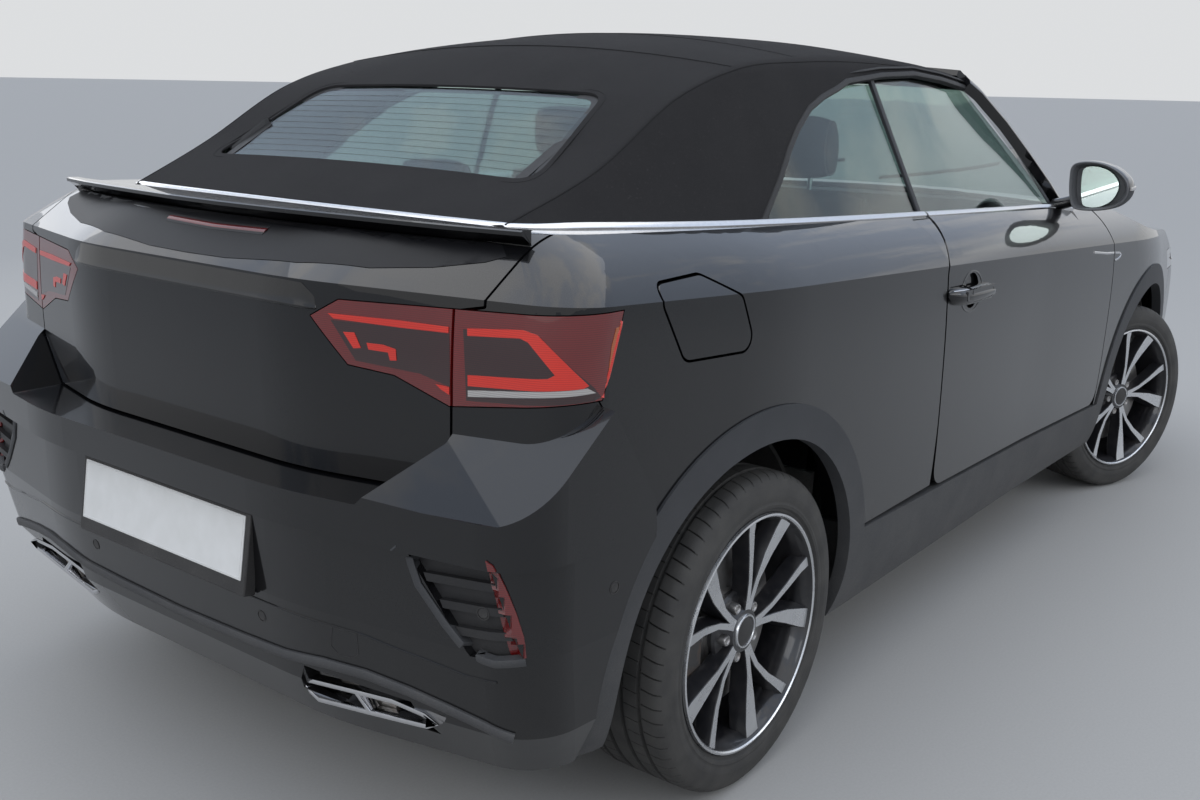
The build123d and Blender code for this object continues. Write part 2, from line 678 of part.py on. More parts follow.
with BuildPart() as sill:
    add(wall_piece(sill_zone, DOOR_THICK + 5, shell_inset=30))
with BuildPart() as sills:
    add(sill.part)
    add(mirror(sill.part, about=Plane.XZ))
save(sills.part, "sills")

# Windscreen and its frame
SCREEN_LOW_Z = 985.0


def screen_slab(inner, outer_by):
    """The windscreen's raked curved slab between two distances behind its outer face."""
    slope_x = (SCREEN_TOP[0][0] - SCREEN_BASE[0][0]) / (SCREEN_TOP_Z - SCREEN_BASE_Z)
    slope_y = (SCREEN_TOP[0][1] - SCREEN_BASE[0][1]) / (SCREEN_TOP_Z - SCREEN_BASE_Z)
    slope_m = (SCREEN_TOP[1][0] - SCREEN_BASE[1][0]) / (SCREEN_TOP_Z - SCREEN_BASE_Z)
    drop = SCREEN_LOW_Z - SCREEN_BASE_Z
    low = (
        (SCREEN_BASE[0][0] + slope_x * drop, SCREEN_BASE[0][1] + slope_y * drop),
        (SCREEN_BASE[1][0] + slope_m * drop, 0),
    )
    with BuildPart() as slab:
        loft([
            screen_face(SCREEN_LOW_Z, low, inner, outer_by),
            screen_face(SCREEN_TOP_Z, SCREEN_TOP, inner, outer_by),
        ], ruled=True)
    return slab.part


# Cloth roof, side glass and rear window
SIDE_WINDOWS = [
    (250, 900), (250, 1384), (-42, 1419), (-225, 1431), (-629, 1408), (-686, 1392), (-844, 1349),
    (-987, 1263), (-1168, 1130), (-1200, 1060), (-1200, 900),
]
REAR_WINDOW = [(-1606, 490), (-1310, 435), (-1310, -435), (-1606, -490)]
with BuildPart() as soft_top:
    add(roof_loft(0))
    add(roof_loft(CLOTH), mode=Mode.SUBTRACT)
    add(outer.part, mode=Mode.SUBTRACT)
    add(screen_slab(55, -300), mode=Mode.SUBTRACT)
    with Locations((278, 0, 1500)):
        Box(200, 1400, 200, mode=Mode.SUBTRACT)
    add(side_prism(SIDE_WINDOWS, -1200, 1200), mode=Mode.SUBTRACT)
    add(plan_prism(REAR_WINDOW, 1100, 1500, round_by=45), mode=Mode.SUBTRACT)
with BuildPart() as rear_window:
    add(roof_loft(6))
    add(roof_loft(11), mode=Mode.SUBTRACT)
    add(plan_prism(REAR_WINDOW, 1100, 1500, round_by=45), mode=Mode.INTERSECT)
save(soft_top.part, "soft_top")
save(rear_window.part, "rear_window")
DOOR_WINDOW = [(583, 900), (583, 1043), (172, 1388)] + SIDE_WINDOWS[2:]
GLASS_ROWS = [RoofRow(680, 770, 575, 1422, 1456, 40)] + ROOF_ROWS
with BuildPart() as glass_inside:
    loft([roof_outline(row, GLASS_INSET + GLASS) for row in GLASS_ROWS])
glass_core = glass_inside.part
with BuildPart() as side_glass:
    loft([roof_outline(row, GLASS_INSET) for row in GLASS_ROWS])
    add(glass_core, mode=Mode.SUBTRACT)
    add(outer.part, mode=Mode.SUBTRACT)
    add(side_prism(DOOR_WINDOW, 0, 1200), mode=Mode.INTERSECT)
    with Locations((-500, -600, 1200)):
        Box(3000, 1200, 900, mode=Mode.SUBTRACT)
with BuildPart() as quarter_pane:
    add(side_glass.part)
    add(side_prism([(-2000, 900), (-454, 900), (-454, 1098), (-481, 1450), (-2000, 1450)], 0, 1200),
        mode=Mode.INTERSECT)
with BuildPart() as quarter_glass:
    add(quarter_pane.part)
    add(mirror(quarter_pane.part, about=Plane.XZ))
save(quarter_glass.part, "quarter_glass")

screen_opening = [(672, 1062), (538, 1400), (-538, 1400), (-672, 1062)]
with BuildPart() as windscreen_frame:
    add(screen_slab(55, 0))
    add(outer.part, mode=Mode.SUBTRACT)
    add(end_prism(screen_opening, -500, 1500), mode=Mode.SUBTRACT)
with BuildPart() as windscreen:
    add(screen_slab(14, 8))
    add(end_prism(screen_opening, -500, 1500), mode=Mode.INTERSECT)
save(windscreen.part, "windscreen")
with BuildPart() as door_pane:
    add(side_glass.part)
    add(quarter_pane.part, mode=Mode.SUBTRACT)
    add(side_prism([(-446, 900), (-446, 1098), (-475, 1450), (700, 1450), (700, 900)], 0, 1200),
        mode=Mode.INTERSECT)
save(windscreen_frame.part, "windscreen_frame")
save(door_pane.part, "door_glass_left")
save(mirror(door_pane.part, about=Plane.XZ), "door_glass_right")

# Door mirrors: foot on the door's shoulder, housing outboard
MIRROR_X = 500.0
MIRROR_FOOT = [(775, 1040), (850, 1040), (880, 1082), (880, 1112), (800, 1082), (775, 1082)]
MIRROR_REAR = [(862, 1082), (984, 1096), (996, 1180), (962, 1222), (866, 1206)]
MIRROR_FRONT = [(872, 1104), (956, 1110), (960, 1160), (944, 1184), (874, 1180)]
with BuildPart() as mirror_left:
    with BuildSketch(Plane(origin=(MIRROR_X, 0, 0), x_dir=(0, 1, 0), z_dir=(1, 0, 0))):
        with BuildLine():
            Polyline(*MIRROR_FOOT, close=True)
        make_face()
    extrude(amount=32, both=True)
    add(outer.part, mode=Mode.SUBTRACT)
    with BuildSketch(Plane(origin=(MIRROR_X - 48, 0, 0), x_dir=(0, 1, 0), z_dir=(1, 0, 0))):
        with BuildLine():
            FilletPolyline(*MIRROR_REAR, radius=22, close=True)
        make_face()
    with BuildSketch(Plane(origin=(MIRROR_X + 66, 0, 0), x_dir=(0, 1, 0), z_dir=(1, 0, 0))):
        with BuildLine():
            FilletPolyline(*MIRROR_FRONT, radius=20, close=True)
        make_face()
    loft()
save(mirror_left.part, "mirror_left")
save(mirror(mirror_left.part, about=Plane.XZ), "mirror_right")

# Cowl between bonnet and windscreen
COWL_HALF = [(935, 0), (910, 250), (845, 480), (699, 736), (695, 757), (600, 757)]
cowl_points = COWL_HALF + [(x, -y) for x, y in reversed(COWL_HALF[1:])]
with BuildPart() as cowl:
    add(plan_prism(cowl_points, 985, 1060))
    add(outer.part, mode=Mode.INTERSECT)
save(cowl.part, "cowl")

# Underbody: floor, tunnel, bulkhead, wheel housings and boot floor
FLOOR_Z = 262.0
FLOOR_T = 22.0
WHEEL_ROOM_Y = 474.0
HOUSING_T = 10.0
Slab = namedtuple("Slab", "x0 x1 y z0 z1")
FLOOR_SLABS = [
    Slab(-980, 850, 800, FLOOR_Z, FLOOR_Z + FLOOR_T),
    Slab(836, 864, 800, FLOOR_Z, 985),
    Slab(-990, -976, 800, FLOOR_Z, 560),
    Slab(-1960, -980, 545, 540, 560),
    Slab(-1860, -1850, 545, 560, 596),
]
with BuildPart() as floor:
    for slab in FLOOR_SLABS:
        with Locations(((slab.x0 + slab.x1) / 2, 0, (slab.z0 + slab.z1) / 2)):
            Box(slab.x1 - slab.x0, 2 * slab.y, slab.z1 - slab.z0)
    with Locations((-60, 0, 330)):
        Box(1800, 250, 130)
    with Locations((-60, 0, 312)):
        Box(1860, 226, 142, mode=Mode.SUBTRACT)
    add(inner_thick.part, mode=Mode.INTERSECT)
HOUSINGS = [(REAR_ARCH_X, 545.0, 748.0), (FRONT_ARCH_X, WHEEL_ROOM_Y, 790.0)]
with BuildPart() as housing:
    for x, inner_y, outer_y in HOUSINGS:
        with BuildSketch(Plane(origin=(0, inner_y, 0), x_dir=(1, 0, 0), z_dir=(0, -1, 0))):
            with Locations((x, ARCH_Z)):
                Circle(ARCH_INNER_R + 2 + HOUSING_T)
            with Locations((x, ARCH_Z - 280)):
                Rectangle(1000, 400, mode=Mode.SUBTRACT)
        extrude(amount=inner_y - outer_y)
        with BuildSketch(Plane(origin=(0, inner_y + HOUSING_T, 0), x_dir=(1, 0, 0), z_dir=(0, -1, 0))):
            with Locations((x, ARCH_Z)):
                Circle(ARCH_INNER_R + 2)
        extrude(amount=inner_y + HOUSING_T - outer_y, mode=Mode.SUBTRACT)
    with BuildSketch(Plane(origin=(0, WHEEL_ROOM_Y - 20, 0), x_dir=(1, 0, 0), z_dir=(0, -1, 0))):
        for x in (REAR_AXLE_X, FRONT_AXLE_X):
            with Locations((x, TYRE_R)):
                Circle(190)
    extrude(amount=-200, mode=Mode.SUBTRACT)
with BuildPart() as housing_clipped:
    add(housing.part)
    add(body_halves(30)[0], mode=Mode.INTERSECT)
with BuildPart() as underbody:
    add(floor.part)
    add(housing_clipped.part)
    add(mirror(housing_clipped.part, about=Plane.XZ))
    for x, inner_y, outer_y in HOUSINGS:
        for side in (1, -1):
            with Locations(Location((x, side * (outer_y + inner_y + HOUSING_T) / 2, ARCH_Z), (90, 0, 0))):
                Cylinder(ARCH_INNER_R + 2, outer_y - inner_y - HOUSING_T, mode=Mode.SUBTRACT)
save(underbody.part, "underbody")

# Cabin: dashboard, seats, steering wheel
SEAT_Y = 370.0
STEER_TILT = 25.0
COLUMN_R = 20.0
steering_at = Location((335, SEAT_Y, 880), (0, -90 + STEER_TILT, 0))
DASH = [
    (836, 985), (640, 985), (470, 940), (430, 890), (452, 790), (560, 700), (600, 560), (700, 470),
    (836, 440),
]
with BuildPart() as dashboard:
    add(side_prism(DASH, -660, 660))
    with Locations((500, 0, 480)):
        Box(420, 210, 210)
    with Locations((-60, 0, 420)):
        Box(760, 190, 46)
    add(inner_thick.part, mode=Mode.INTERSECT)
    with Locations((0, 0, 200)):
        Box(3000, 3000, 390, mode=Mode.SUBTRACT)
    with Locations(steering_at * Pos(0, 0, -120)):
        Cylinder(COLUMN_R + 0.05, 110, mode=Mode.SUBTRACT)
save(dashboard.part, "dashboard")
CUSHION = [(-330, 440), (-300, 590), (150, 625), (190, 600), (190, 470), (150, 440)]
BACK = [(-330, 470), (-190, 560), (-330, 1120), (-400, 1150), (-455, 1130), (-480, 1090), (-400, 560)]
HEADREST = [(-385, 1165), (-375, 1290), (-400, 1320), (-450, 1320), (-470, 1290), (-455, 1165)]
with BuildPart() as seat:
    add(side_prism(CUSHION, SEAT_Y - 245, SEAT_Y + 245, round_by=18))
    add(side_prism(BACK, SEAT_Y - 240, SEAT_Y + 240, round_by=14))
    add(side_prism(HEADREST, SEAT_Y - 125, SEAT_Y + 125, round_by=12))
    for y in (SEAT_Y - 50, SEAT_Y + 50):
        with Locations((-425, y, 1150)):
            Cylinder(6, 70)
    for y in (SEAT_Y - 180, SEAT_Y + 180):
        with Locations((-80, y, (FLOOR_Z + FLOOR_T + 450) / 2)):
            Box(400, 40, 450 - FLOOR_Z - FLOOR_T)
with BuildPart() as front_seats:
    add(seat.part)
    add(mirror(seat.part, about=Plane.XZ))
save(front_seats.part, "front_seats")
REAR_CUSHION = [(-972, 284), (-972, 600), (-560, 630), (-520, 600), (-520, 440), (-560, 284)]
REAR_BACK = [(-960, 590), (-880, 640), (-985, 1060), (-1030, 1085), (-1080, 1060), (-1080, 562), (-975, 562)]
REAR_HEADREST = [(-1010, 1060), (-1000, 1180), (-1040, 1195), (-1075, 1180), (-1070, 1060)]
with BuildPart() as rear_seat:
    add(side_prism(REAR_CUSHION, -545, 545, round_by=16))
    add(side_prism(REAR_BACK, -545, 545, round_by=12))
    for y in (-330, 330):
        add(side_prism(REAR_HEADREST, y - 115, y + 115, round_by=8))
    with Locations((-60, 0, 330)):
        Box(1800, 250, 130, mode=Mode.SUBTRACT)
save(rear_seat.part, "rear_seat")
with BuildPart() as wheel_form:
    Torus(172, 15)
    Cylinder(60, 40)
    for angle in (0, 180, 270):
        with Locations(Rot(0, 0, angle) * Pos(110, 0, 0)):
            Box(110, 34, 14)
    with Locations((0, 0, -90)):
        Cylinder(COLUMN_R, 150)
steering_wheel = steering_at * Rot(0, 0, PARKED_STEER * STEERING_RATIO - 90) * wheel_form.part
save(steering_wheel, "steering_wheel")

# Engine, radiator pack, fuel tank and exhaust
with BuildPart() as engine_block:
    with Locations((1180, 0, 560)):
        Box(520, 760, 440)
    with Locations((1260, 60, 820)):
        Box(420, 560, 90)
    with Locations((1790, 0, 520)):
        Box(70, 700, 420)
    with Locations((1600, 0, 560)):
        Box(330, 300, 120)
save(engine_block.part, "engine_block")
with BuildPart() as fuel_tank:
    for y in (-330, 330):
        with Locations((-740, y, 235)):
            Box(420, 400, 54)
save(fuel_tank.part, "fuel_tank")
PIPE_R = 30.0


def rod(start, end, radius):
    """A round bar between two points."""
    line = Vector(*end) - Vector(*start)
    middle = (Vector(*start) + Vector(*end)) * 0.5
    plane = Plane(origin=middle, z_dir=line)
    with BuildPart() as bar:
        with Locations(plane.location):
            Cylinder(radius, line.length)
    return bar.part


PIPE_POINTS = [(1000, 0, 235), (-950, 0, 235), (-1500, 0, 285), (-1690, 0, 330)]
with BuildPart() as exhaust:
    for start, end in zip(PIPE_POINTS, PIPE_POINTS[1:]):
        add(rod(start, end, PIPE_R))
    for point in PIPE_POINTS[1:-1]:
        with Locations(point):
            Sphere(PIPE_R)
    add(rod((960, 0, 235), (960, 0, 340), PIPE_R))
    add(rod((-1740, -410, 340), (-1740, 410, 340), 92))
    for side in (1, -1):
        with Locations((-1875, side * 470, 335)):
            Box(290, 150, 44)
save(exhaust.part, "exhaust")

# Wheels: tyre, rim with hub and brake disc, drawn about the wheel's own Y axis, outer side +Y
BORE_R = 30.05
STUB_R = 30.0
TYRE_OUTLINE = [
    (241, 100.9), (250, 101.9), (256.5, 103.9), (258, 110), (268, 112), (285, 112.5), (308, 109),
    (323, 99), (330, 84), (331, 60),
]
TYRE_CAVITY = [(241, 88), (260, 97), (285, 100), (304, 96), (315, 86), (319, 70)]
RIM_OUTLINE = [
    (256, 110), (256, 104), (250, 102), (241, 101), (241, 88), (228, 70), (228, -60), (241, -88),
    (241, -101), (250, -102), (256, -104), (256, -110), (250, -112), (236, -104), (222, -62), (222, 60),
    (234, 82), (240, 104), (250, 112),
]
DISH = [(30, 46), (80, 46), (96, 56), (226, 60), (237, 84), (120, 76), (78, 70), (72, 84), (30, 84)]


def ring(points):
    """A closed outline (radius, along the axle) turned about the axle."""
    with BuildPart() as turned:
        with BuildSketch(Plane.XY):
            with BuildLine():
                Polyline(*points, close=True)
            make_face()
        revolve(axis=Axis.Y)
    return turned.part


def mirrored_profile(outer_half, cavity_half):
    low = [(r, -y) for r, y in reversed(outer_half)]
    cavity = [(r, -y) for r, y in cavity_half] + list(reversed(cavity_half))
    return outer_half + low + cavity


BRAKE_DISC = [(62, 46), (62, 12), (168, 12), (168, 36), (80, 36), (80, 46)]
FACE = Plane(origin=(0, 0, 0), x_dir=(1, 0, 0), z_dir=(0, -1, 0))


def polar(radius, angle):
    return (radius * cos(radians(angle)), radius * sin(radians(angle)))


WIDE_WINDOW = [(96, -19), (214, -22), (219, -11), (220, 0), (219, 11), (214, 22), (96, 19)]
WIDE_CORNERS = [12, 12, 0, 0, 0, 12, 12]
SLOT = [(122, -1.6), (212, -6), (214, 0), (212, 6), (122, 1.6)]
tyre = ring(mirrored_profile(TYRE_OUTLINE, TYRE_CAVITY))
with BuildPart() as windows:
    for turn in range(5):
        middle = 90 + 36 + 72 * turn
        wide = [polar(r, middle + a) for r, a in WIDE_WINDOW]
        with BuildSketch(FACE):
            with BuildLine():
                FilletPolyline(*wide, radius=WIDE_CORNERS, close=True)
            make_face()
        extrude(amount=200, both=True)
        with BuildSketch(FACE):
            with BuildLine():
                Polyline(*[polar(r, middle - 36 + a) for r, a in SLOT], close=True)
            make_face()
        extrude(amount=200, both=True)
with BuildPart() as face_ring:
    add(ring(DISH))
    add(windows.part, mode=Mode.SUBTRACT)
with BuildPart() as rim:
    add(ring(RIM_OUTLINE))
    add(face_ring.part)
    add(ring(BRAKE_DISC))
    with Locations(Location((0, 0, 0), (90, 0, 0))):
        Cylinder(BORE_R, 300, mode=Mode.SUBTRACT)

KINGPIN_OFFSET = WHEEL_Y - KINGPIN_Y
PIN_R = 12.0
PIN_BORE_R = 12.05
with BuildPart() as hub:
    with Locations(Location((0, 30, 0), (90, 0, 0))):
        Cylinder(STUB_R, 100)
    with Locations(Location((0, -25, 0), (90, 0, 0))):
        Cylinder(54, 58)
with BuildPart() as caliper:
    with Locations((-152, 15, 0)):
        Box(92, 70, 110)
    with Locations(Location((0, 24, 0), (90, 0, 0))):
        Cylinder(174, 34, mode=Mode.SUBTRACT)
    with Locations((-100, -34, 0)):
        Box(130, 30, 56)
with BuildPart() as knuckle:
    add(hub.part)
    add(caliper.part)
    with Locations((0, -77, 10)):
        Box(48, 54, 260)
    with Locations((0, -KINGPIN_OFFSET, -135)):
        Cylinder(PIN_R, 32)
    with Locations((0, -KINGPIN_OFFSET, 155)):
        Cylinder(PIN_R, 32)


def seat_wheel(part, side, front):
    """Place a piece drawn about the wheel's own centre, outer side +Y, at one corner."""
    drawn = part if side > 0 else mirror(part, about=Plane.XZ)
    if not front:
        return Location((REAR_AXLE_X, side * WHEEL_Y, TYRE_R)) * drawn
    turned = Location((FRONT_AXLE_X, side * KINGPIN_Y, TYRE_R), (0, 0, PARKED_STEER))
    return turned * Pos(0, side * KINGPIN_OFFSET, 0) * drawn


CORNERS = [
    ("front_left", 1, True), ("front_right", -1, True),
    ("rear_left", 1, False), ("rear_right", -1, False),
]
for corner, side, front in CORNERS:
    save(seat_wheel(tyre, side, front), f"tyre_{corner}")
    save(seat_wheel(rim.part, side, front), f"rim_{corner}")
    if front:
        save(seat_wheel(knuckle.part, side, front), "knuckle_left" if side > 0 else "knuckle_right")

# Front suspension on its subframe, and the rear axle
with BuildPart() as front_corner:
    with BuildSketch(Plane.XY.offset(184)):
        with BuildLine():
            Polyline(
                (FRONT_AXLE_X - 100, 400), (FRONT_AXLE_X - 26, 712), (FRONT_AXLE_X + 26, 712),
                (FRONT_AXLE_X + 100, 400), close=True,
            )
        make_face()
    extrude(amount=24)
    with Locations((FRONT_AXLE_X, 636, 486)):
        Box(44, 152, 24)
    with Locations((FRONT_AXLE_X, 560, 480)):
        Cylinder(36, 560)
    with BuildSketch(FACE):
        with Locations((FRONT_ARCH_X, ARCH_Z)):
            Circle(ARCH_INNER_R + 2)
    extrude(amount=-1000, mode=Mode.INTERSECT)
    with Locations((FRONT_AXLE_X, KINGPIN_Y, 330)):
        Cylinder(PIN_BORE_R, 500, mode=Mode.SUBTRACT)
with BuildPart() as front_suspension:
    add(front_corner.part)
    add(mirror(front_corner.part, about=Plane.XZ))
    with Locations((1250, 0, 196)):
        Box(240, 840, 40)
    for side in (1, -1):
        with Locations((1309, side * 412, 330)):
            Box(890, 52, 90)
        with Locations((1250, side * 412, 250)):
            Box(160, 50, 100)
        with Locations((1180, side * 250, 278)):
            Box(80, 80, 124)
save(front_suspension.part, "front_suspension")
with BuildPart() as rear_corner:
    add(Location((REAR_AXLE_X, WHEEL_Y, TYRE_R)) * hub.part)
    add(Location((REAR_AXLE_X, WHEEL_Y, TYRE_R)) * caliper.part)
    with Locations((REAR_AXLE_X, WHEEL_Y - 77, TYRE_R)):
        Box(60, 54, 230)
    with Locations((REAR_AXLE_X, 570, 236)):
        Box(60, 280, 30)
    with Locations((REAR_AXLE_X, 570, 420)):
        Box(44, 280, 26)
    with Locations((REAR_AXLE_X, 450, 330)):
        Box(70, 60, 218)
    with Locations((REAR_AXLE_X, 505, 390)):
        Cylinder(32, 300)
    with Locations((-1186, 520, 262)):
        Box(392, 40, 40)
with BuildPart() as rear_suspension:
    add(rear_corner.part)
    add(mirror(rear_corner.part, about=Plane.XZ))
    with Locations((REAR_AXLE_X, 0, 370)):
        Box(90, 900, 50)
save(rear_suspension.part, "rear_suspension")
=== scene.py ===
"""Looks of a two-door compact SUV with a black cloth roof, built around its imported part.

Metres, in the part's own frame: +X forward, +Y to the driver's left, +Z up, the ground at z = 0.
"""

import json
import math

import bmesh
import bpy
import numpy as np
from mathutils import Matrix, Vector
from mathutils.bvhtree import BVHTree


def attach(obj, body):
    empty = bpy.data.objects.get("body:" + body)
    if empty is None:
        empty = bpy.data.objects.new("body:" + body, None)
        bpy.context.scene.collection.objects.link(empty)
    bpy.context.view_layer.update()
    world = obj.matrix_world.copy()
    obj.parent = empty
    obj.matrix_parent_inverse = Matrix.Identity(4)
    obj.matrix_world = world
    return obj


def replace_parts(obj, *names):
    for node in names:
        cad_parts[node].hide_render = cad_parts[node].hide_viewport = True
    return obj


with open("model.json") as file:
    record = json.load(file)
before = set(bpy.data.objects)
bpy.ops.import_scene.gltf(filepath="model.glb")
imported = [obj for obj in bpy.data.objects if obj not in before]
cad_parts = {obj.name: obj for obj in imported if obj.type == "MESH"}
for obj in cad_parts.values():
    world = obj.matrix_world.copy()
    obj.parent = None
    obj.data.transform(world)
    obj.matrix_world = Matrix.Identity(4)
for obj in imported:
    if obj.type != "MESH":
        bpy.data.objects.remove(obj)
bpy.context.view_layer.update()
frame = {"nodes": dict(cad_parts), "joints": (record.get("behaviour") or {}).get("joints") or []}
nodes = frame["nodes"]

# Painted panels: pressed steel doors, wings, quarters, bonnet and lid, and the moulded bumper.
# Deep black paint under a clear coat, with a trace of orange peel, and a thin film of road dust
# that is thickest low down.


def add_node(tree, kind, inputs=(), **settings):
    """One shader node: its settings, then each input as a fixed value or as a link from a socket."""
    node = tree.nodes.new(kind)
    for key, value in settings.items():
        setattr(node, key, value)
    for key, value in dict(inputs).items():
        if isinstance(value, bpy.types.NodeSocket):
            tree.links.new(value, node.inputs[key])
        else:
            node.inputs[key].default_value = value
    return node


def shader_group(name, inputs, outputs):
    """An empty node group with named sockets: inputs map a name to (type, default value)."""
    group = bpy.data.node_groups.new(name, "ShaderNodeTree")
    for socket, (kind, value) in inputs.items():
        made = group.interface.new_socket(socket, in_out="INPUT", socket_type=kind)
        made.default_value = value
    for socket, kind in outputs.items():
        group.interface.new_socket(socket, in_out="OUTPUT", socket_type=kind)
    return group, group.nodes.new("NodeGroupInput"), group.nodes.new("NodeGroupOutput")


def blend_colour(tree, factor, first, second):
    """A colour between two, each a socket or a fixed colour."""
    mixed = add_node(tree, "ShaderNodeMix", data_type="RGBA")
    for index, value in ((0, factor), (6, first), (7, second)):
        if isinstance(value, bpy.types.NodeSocket):
            tree.links.new(value, mixed.inputs[index])
        else:
            mixed.inputs[index].default_value = value
    return mixed.outputs[2]


def start_finish(name, **values):
    """A new material with its Principled shader set, and the piece's own place as coordinates."""
    made = bpy.data.materials.new(name)
    made.use_nodes = True
    tree = made.node_tree
    shader = tree.nodes["Principled BSDF"]
    for key, value in values.items():
        shader.inputs[key.replace("_", " ")].default_value = value
    place = add_node(tree, "ShaderNodeTexCoord").outputs["Object"]
    return made, tree, shader, place


def use_group(tree, group, **values):
    """A shader group placed in a material, with its own values."""
    node = add_node(tree, "ShaderNodeGroup", node_tree=group)
    for key, value in values.items():
        if isinstance(value, bpy.types.NodeSocket):
            tree.links.new(value, node.inputs[key])
        else:
            node.inputs[key].default_value = value
    return node.outputs


def bump_from(tree, shader, height, distance):
    """Lets a height field shape a shader's surface, over a distance in metres."""
    bump = add_node(tree, "ShaderNodeBump", {"Height": height, "Distance": distance})
    tree.links.new(bump.outputs["Normal"], shader.inputs["Normal"])


def rough_from(tree, shader, mask, low, high):
    """Lets a mask set a shader's roughness between two values."""
    spread = add_node(tree, "ShaderNodeMapRange", {"Value": mask, "To Min": low, "To Max": high})
    tree.links.new(spread.outputs["Result"], shader.inputs["Roughness"])


# Road dust, as a mask that fades out above a height
road_dust, dust_in, dust_out = shader_group(
    "road_dust",
    {"Place": ("NodeSocketVector", (0, 0, 0)), "Amount": ("NodeSocketFloat", 0.3),
     "Top": ("NodeSocketFloat", 0.7)},
    {"Mask": "NodeSocketFloat"},
)
dust_height = add_node(road_dust, "ShaderNodeSeparateXYZ", {"Vector": dust_in.outputs["Place"]})
dust_low = add_node(road_dust, "ShaderNodeMapRange", {
    "Value": dust_height.outputs["Z"], "From Min": 0.12, "From Max": dust_in.outputs["Top"],
    "To Min": 1.0, "To Max": 0.0,
}, interpolation_type="SMOOTHSTEP")
dust_cloud = add_node(road_dust, "ShaderNodeTexNoise", {
    "Vector": dust_in.outputs["Place"], "Scale": 9.0, "Detail": 6.0, "Roughness": 0.7})
dust_speck = add_node(road_dust, "ShaderNodeTexNoise", {
    "Vector": dust_in.outputs["Place"], "Scale": 420.0, "Detail": 2.0})
dust_both = add_node(road_dust, "ShaderNodeMath", {
    0: dust_cloud.outputs["Fac"], 1: dust_speck.outputs["Fac"]}, operation="MULTIPLY")
dust_scaled = add_node(road_dust, "ShaderNodeMath", {
    0: dust_both.outputs[0], 1: dust_in.outputs["Amount"]}, operation="MULTIPLY")
dust_mask = add_node(road_dust, "ShaderNodeMath", {
    0: dust_scaled.outputs[0], 1: dust_low.outputs["Result"]}, operation="MULTIPLY", use_clamp=True)
road_dust.links.new(dust_mask.outputs[0], dust_out.inputs["Mask"])

DUST_COLOUR = (0.30, 0.28, 0.25, 1)
PAINT_BLACK = (0.0026, 0.0026, 0.0030, 1)
PAINT_FLAKE = (0.0055, 0.0055, 0.0065, 1)
PEEL_DEPTH = 0.00001
black_paint, tree, shader, place = start_finish(
    "black_paint", Roughness=0.32, Specular_IOR_Level=0.1, Coat_Weight=1.0, Coat_Roughness=0.015,
    Coat_IOR=1.5)
flake = add_node(tree, "ShaderNodeTexVoronoi", {"Vector": place, "Scale": 900.0})
flake_tone = blend_colour(tree, flake.outputs["Distance"], PAINT_FLAKE, PAINT_BLACK)
film = use_group(tree, road_dust, Place=place, Amount=0.10, Top=0.7)["Mask"]
tree.links.new(blend_colour(tree, film, flake_tone, DUST_COLOUR), shader.inputs["Base Color"])
rough_from(tree, shader, film, 0.3, 0.75)
film_coat = add_node(tree, "ShaderNodeMapRange", {"Value": film, "To Min": 1.0, "To Max": 0.45})
tree.links.new(film_coat.outputs["Result"], shader.inputs["Coat Weight"])
peel = add_node(tree, "ShaderNodeTexNoise", {"Vector": place, "Scale": 260.0, "Detail": 1.0})
bump_from(tree, shader, peel.outputs["Fac"], PEEL_DEPTH)


def dress(names, finish):
    """A finish on CAD nodes that stay in their own form."""
    for name in names:
        panel = nodes[name].data
        panel.materials.clear()
        panel.materials.append(finish)


dress(["door_left", "door_right", "wing_left", "wing_right", "quarter_left", "quarter_right",
       "bonnet", "boot_lid", "fuel_flap", "rear_bumper", "front_bumper"], black_paint)

# Wheel-arch and sill cladding, the cowl, the vents and the inner sills: through-coloured plastic,
# clipped on and left unpainted. Its grain is moulded in, and it holds more dust than the paint.
moulded_grain, grain_in, grain_out = shader_group(
    "moulded_grain",
    {"Place": ("NodeSocketVector", (0, 0, 0)), "Size": ("NodeSocketFloat", 900.0)},
    {"Height": "NodeSocketFloat", "Tone": "NodeSocketFloat"},
)
grain_cells = add_node(moulded_grain, "ShaderNodeTexVoronoi", {
    "Vector": grain_in.outputs["Place"], "Scale": grain_in.outputs["Size"]}, feature="SMOOTH_F1")
grain_patch = add_node(moulded_grain, "ShaderNodeTexNoise", {
    "Vector": grain_in.outputs["Place"], "Scale": 14.0, "Detail": 5.0})
moulded_grain.links.new(grain_cells.outputs["Distance"], grain_out.inputs["Height"])
moulded_grain.links.new(grain_patch.outputs["Fac"], grain_out.inputs["Tone"])


def grained_plastic(name, dark, pale, roughness, grain_size, depth, dust):
    """Moulded plastic: two near tones in patches, a fine grain and some dust."""
    made, tree, shader, place = start_finish(name, Roughness=roughness, Specular_IOR_Level=0.4)
    grain = use_group(tree, moulded_grain, Place=place, Size=grain_size)
    film = use_group(tree, road_dust, Place=place, Amount=dust, Top=0.9)["Mask"]
    tone = blend_colour(tree, grain["Tone"], dark, pale)
    tree.links.new(blend_colour(tree, film, tone, DUST_COLOUR), shader.inputs["Base Color"])
    bump_from(tree, shader, grain["Height"], depth)
    return made


cladding_plastic = grained_plastic(
    "cladding_plastic", (0.028, 0.030, 0.034, 1), (0.040, 0.042, 0.047, 1), 0.62, 1100.0, 0.00012, 0.5)
black_plastic = grained_plastic(
    "black_plastic", (0.010, 0.010, 0.011, 1), (0.017, 0.017, 0.019, 1), 0.5, 1300.0, 0.00008, 0.3)
dress(["cladding_left", "cladding_right", "cowl"], cladding_plastic)
dress(["vents", "sills"], black_plastic)

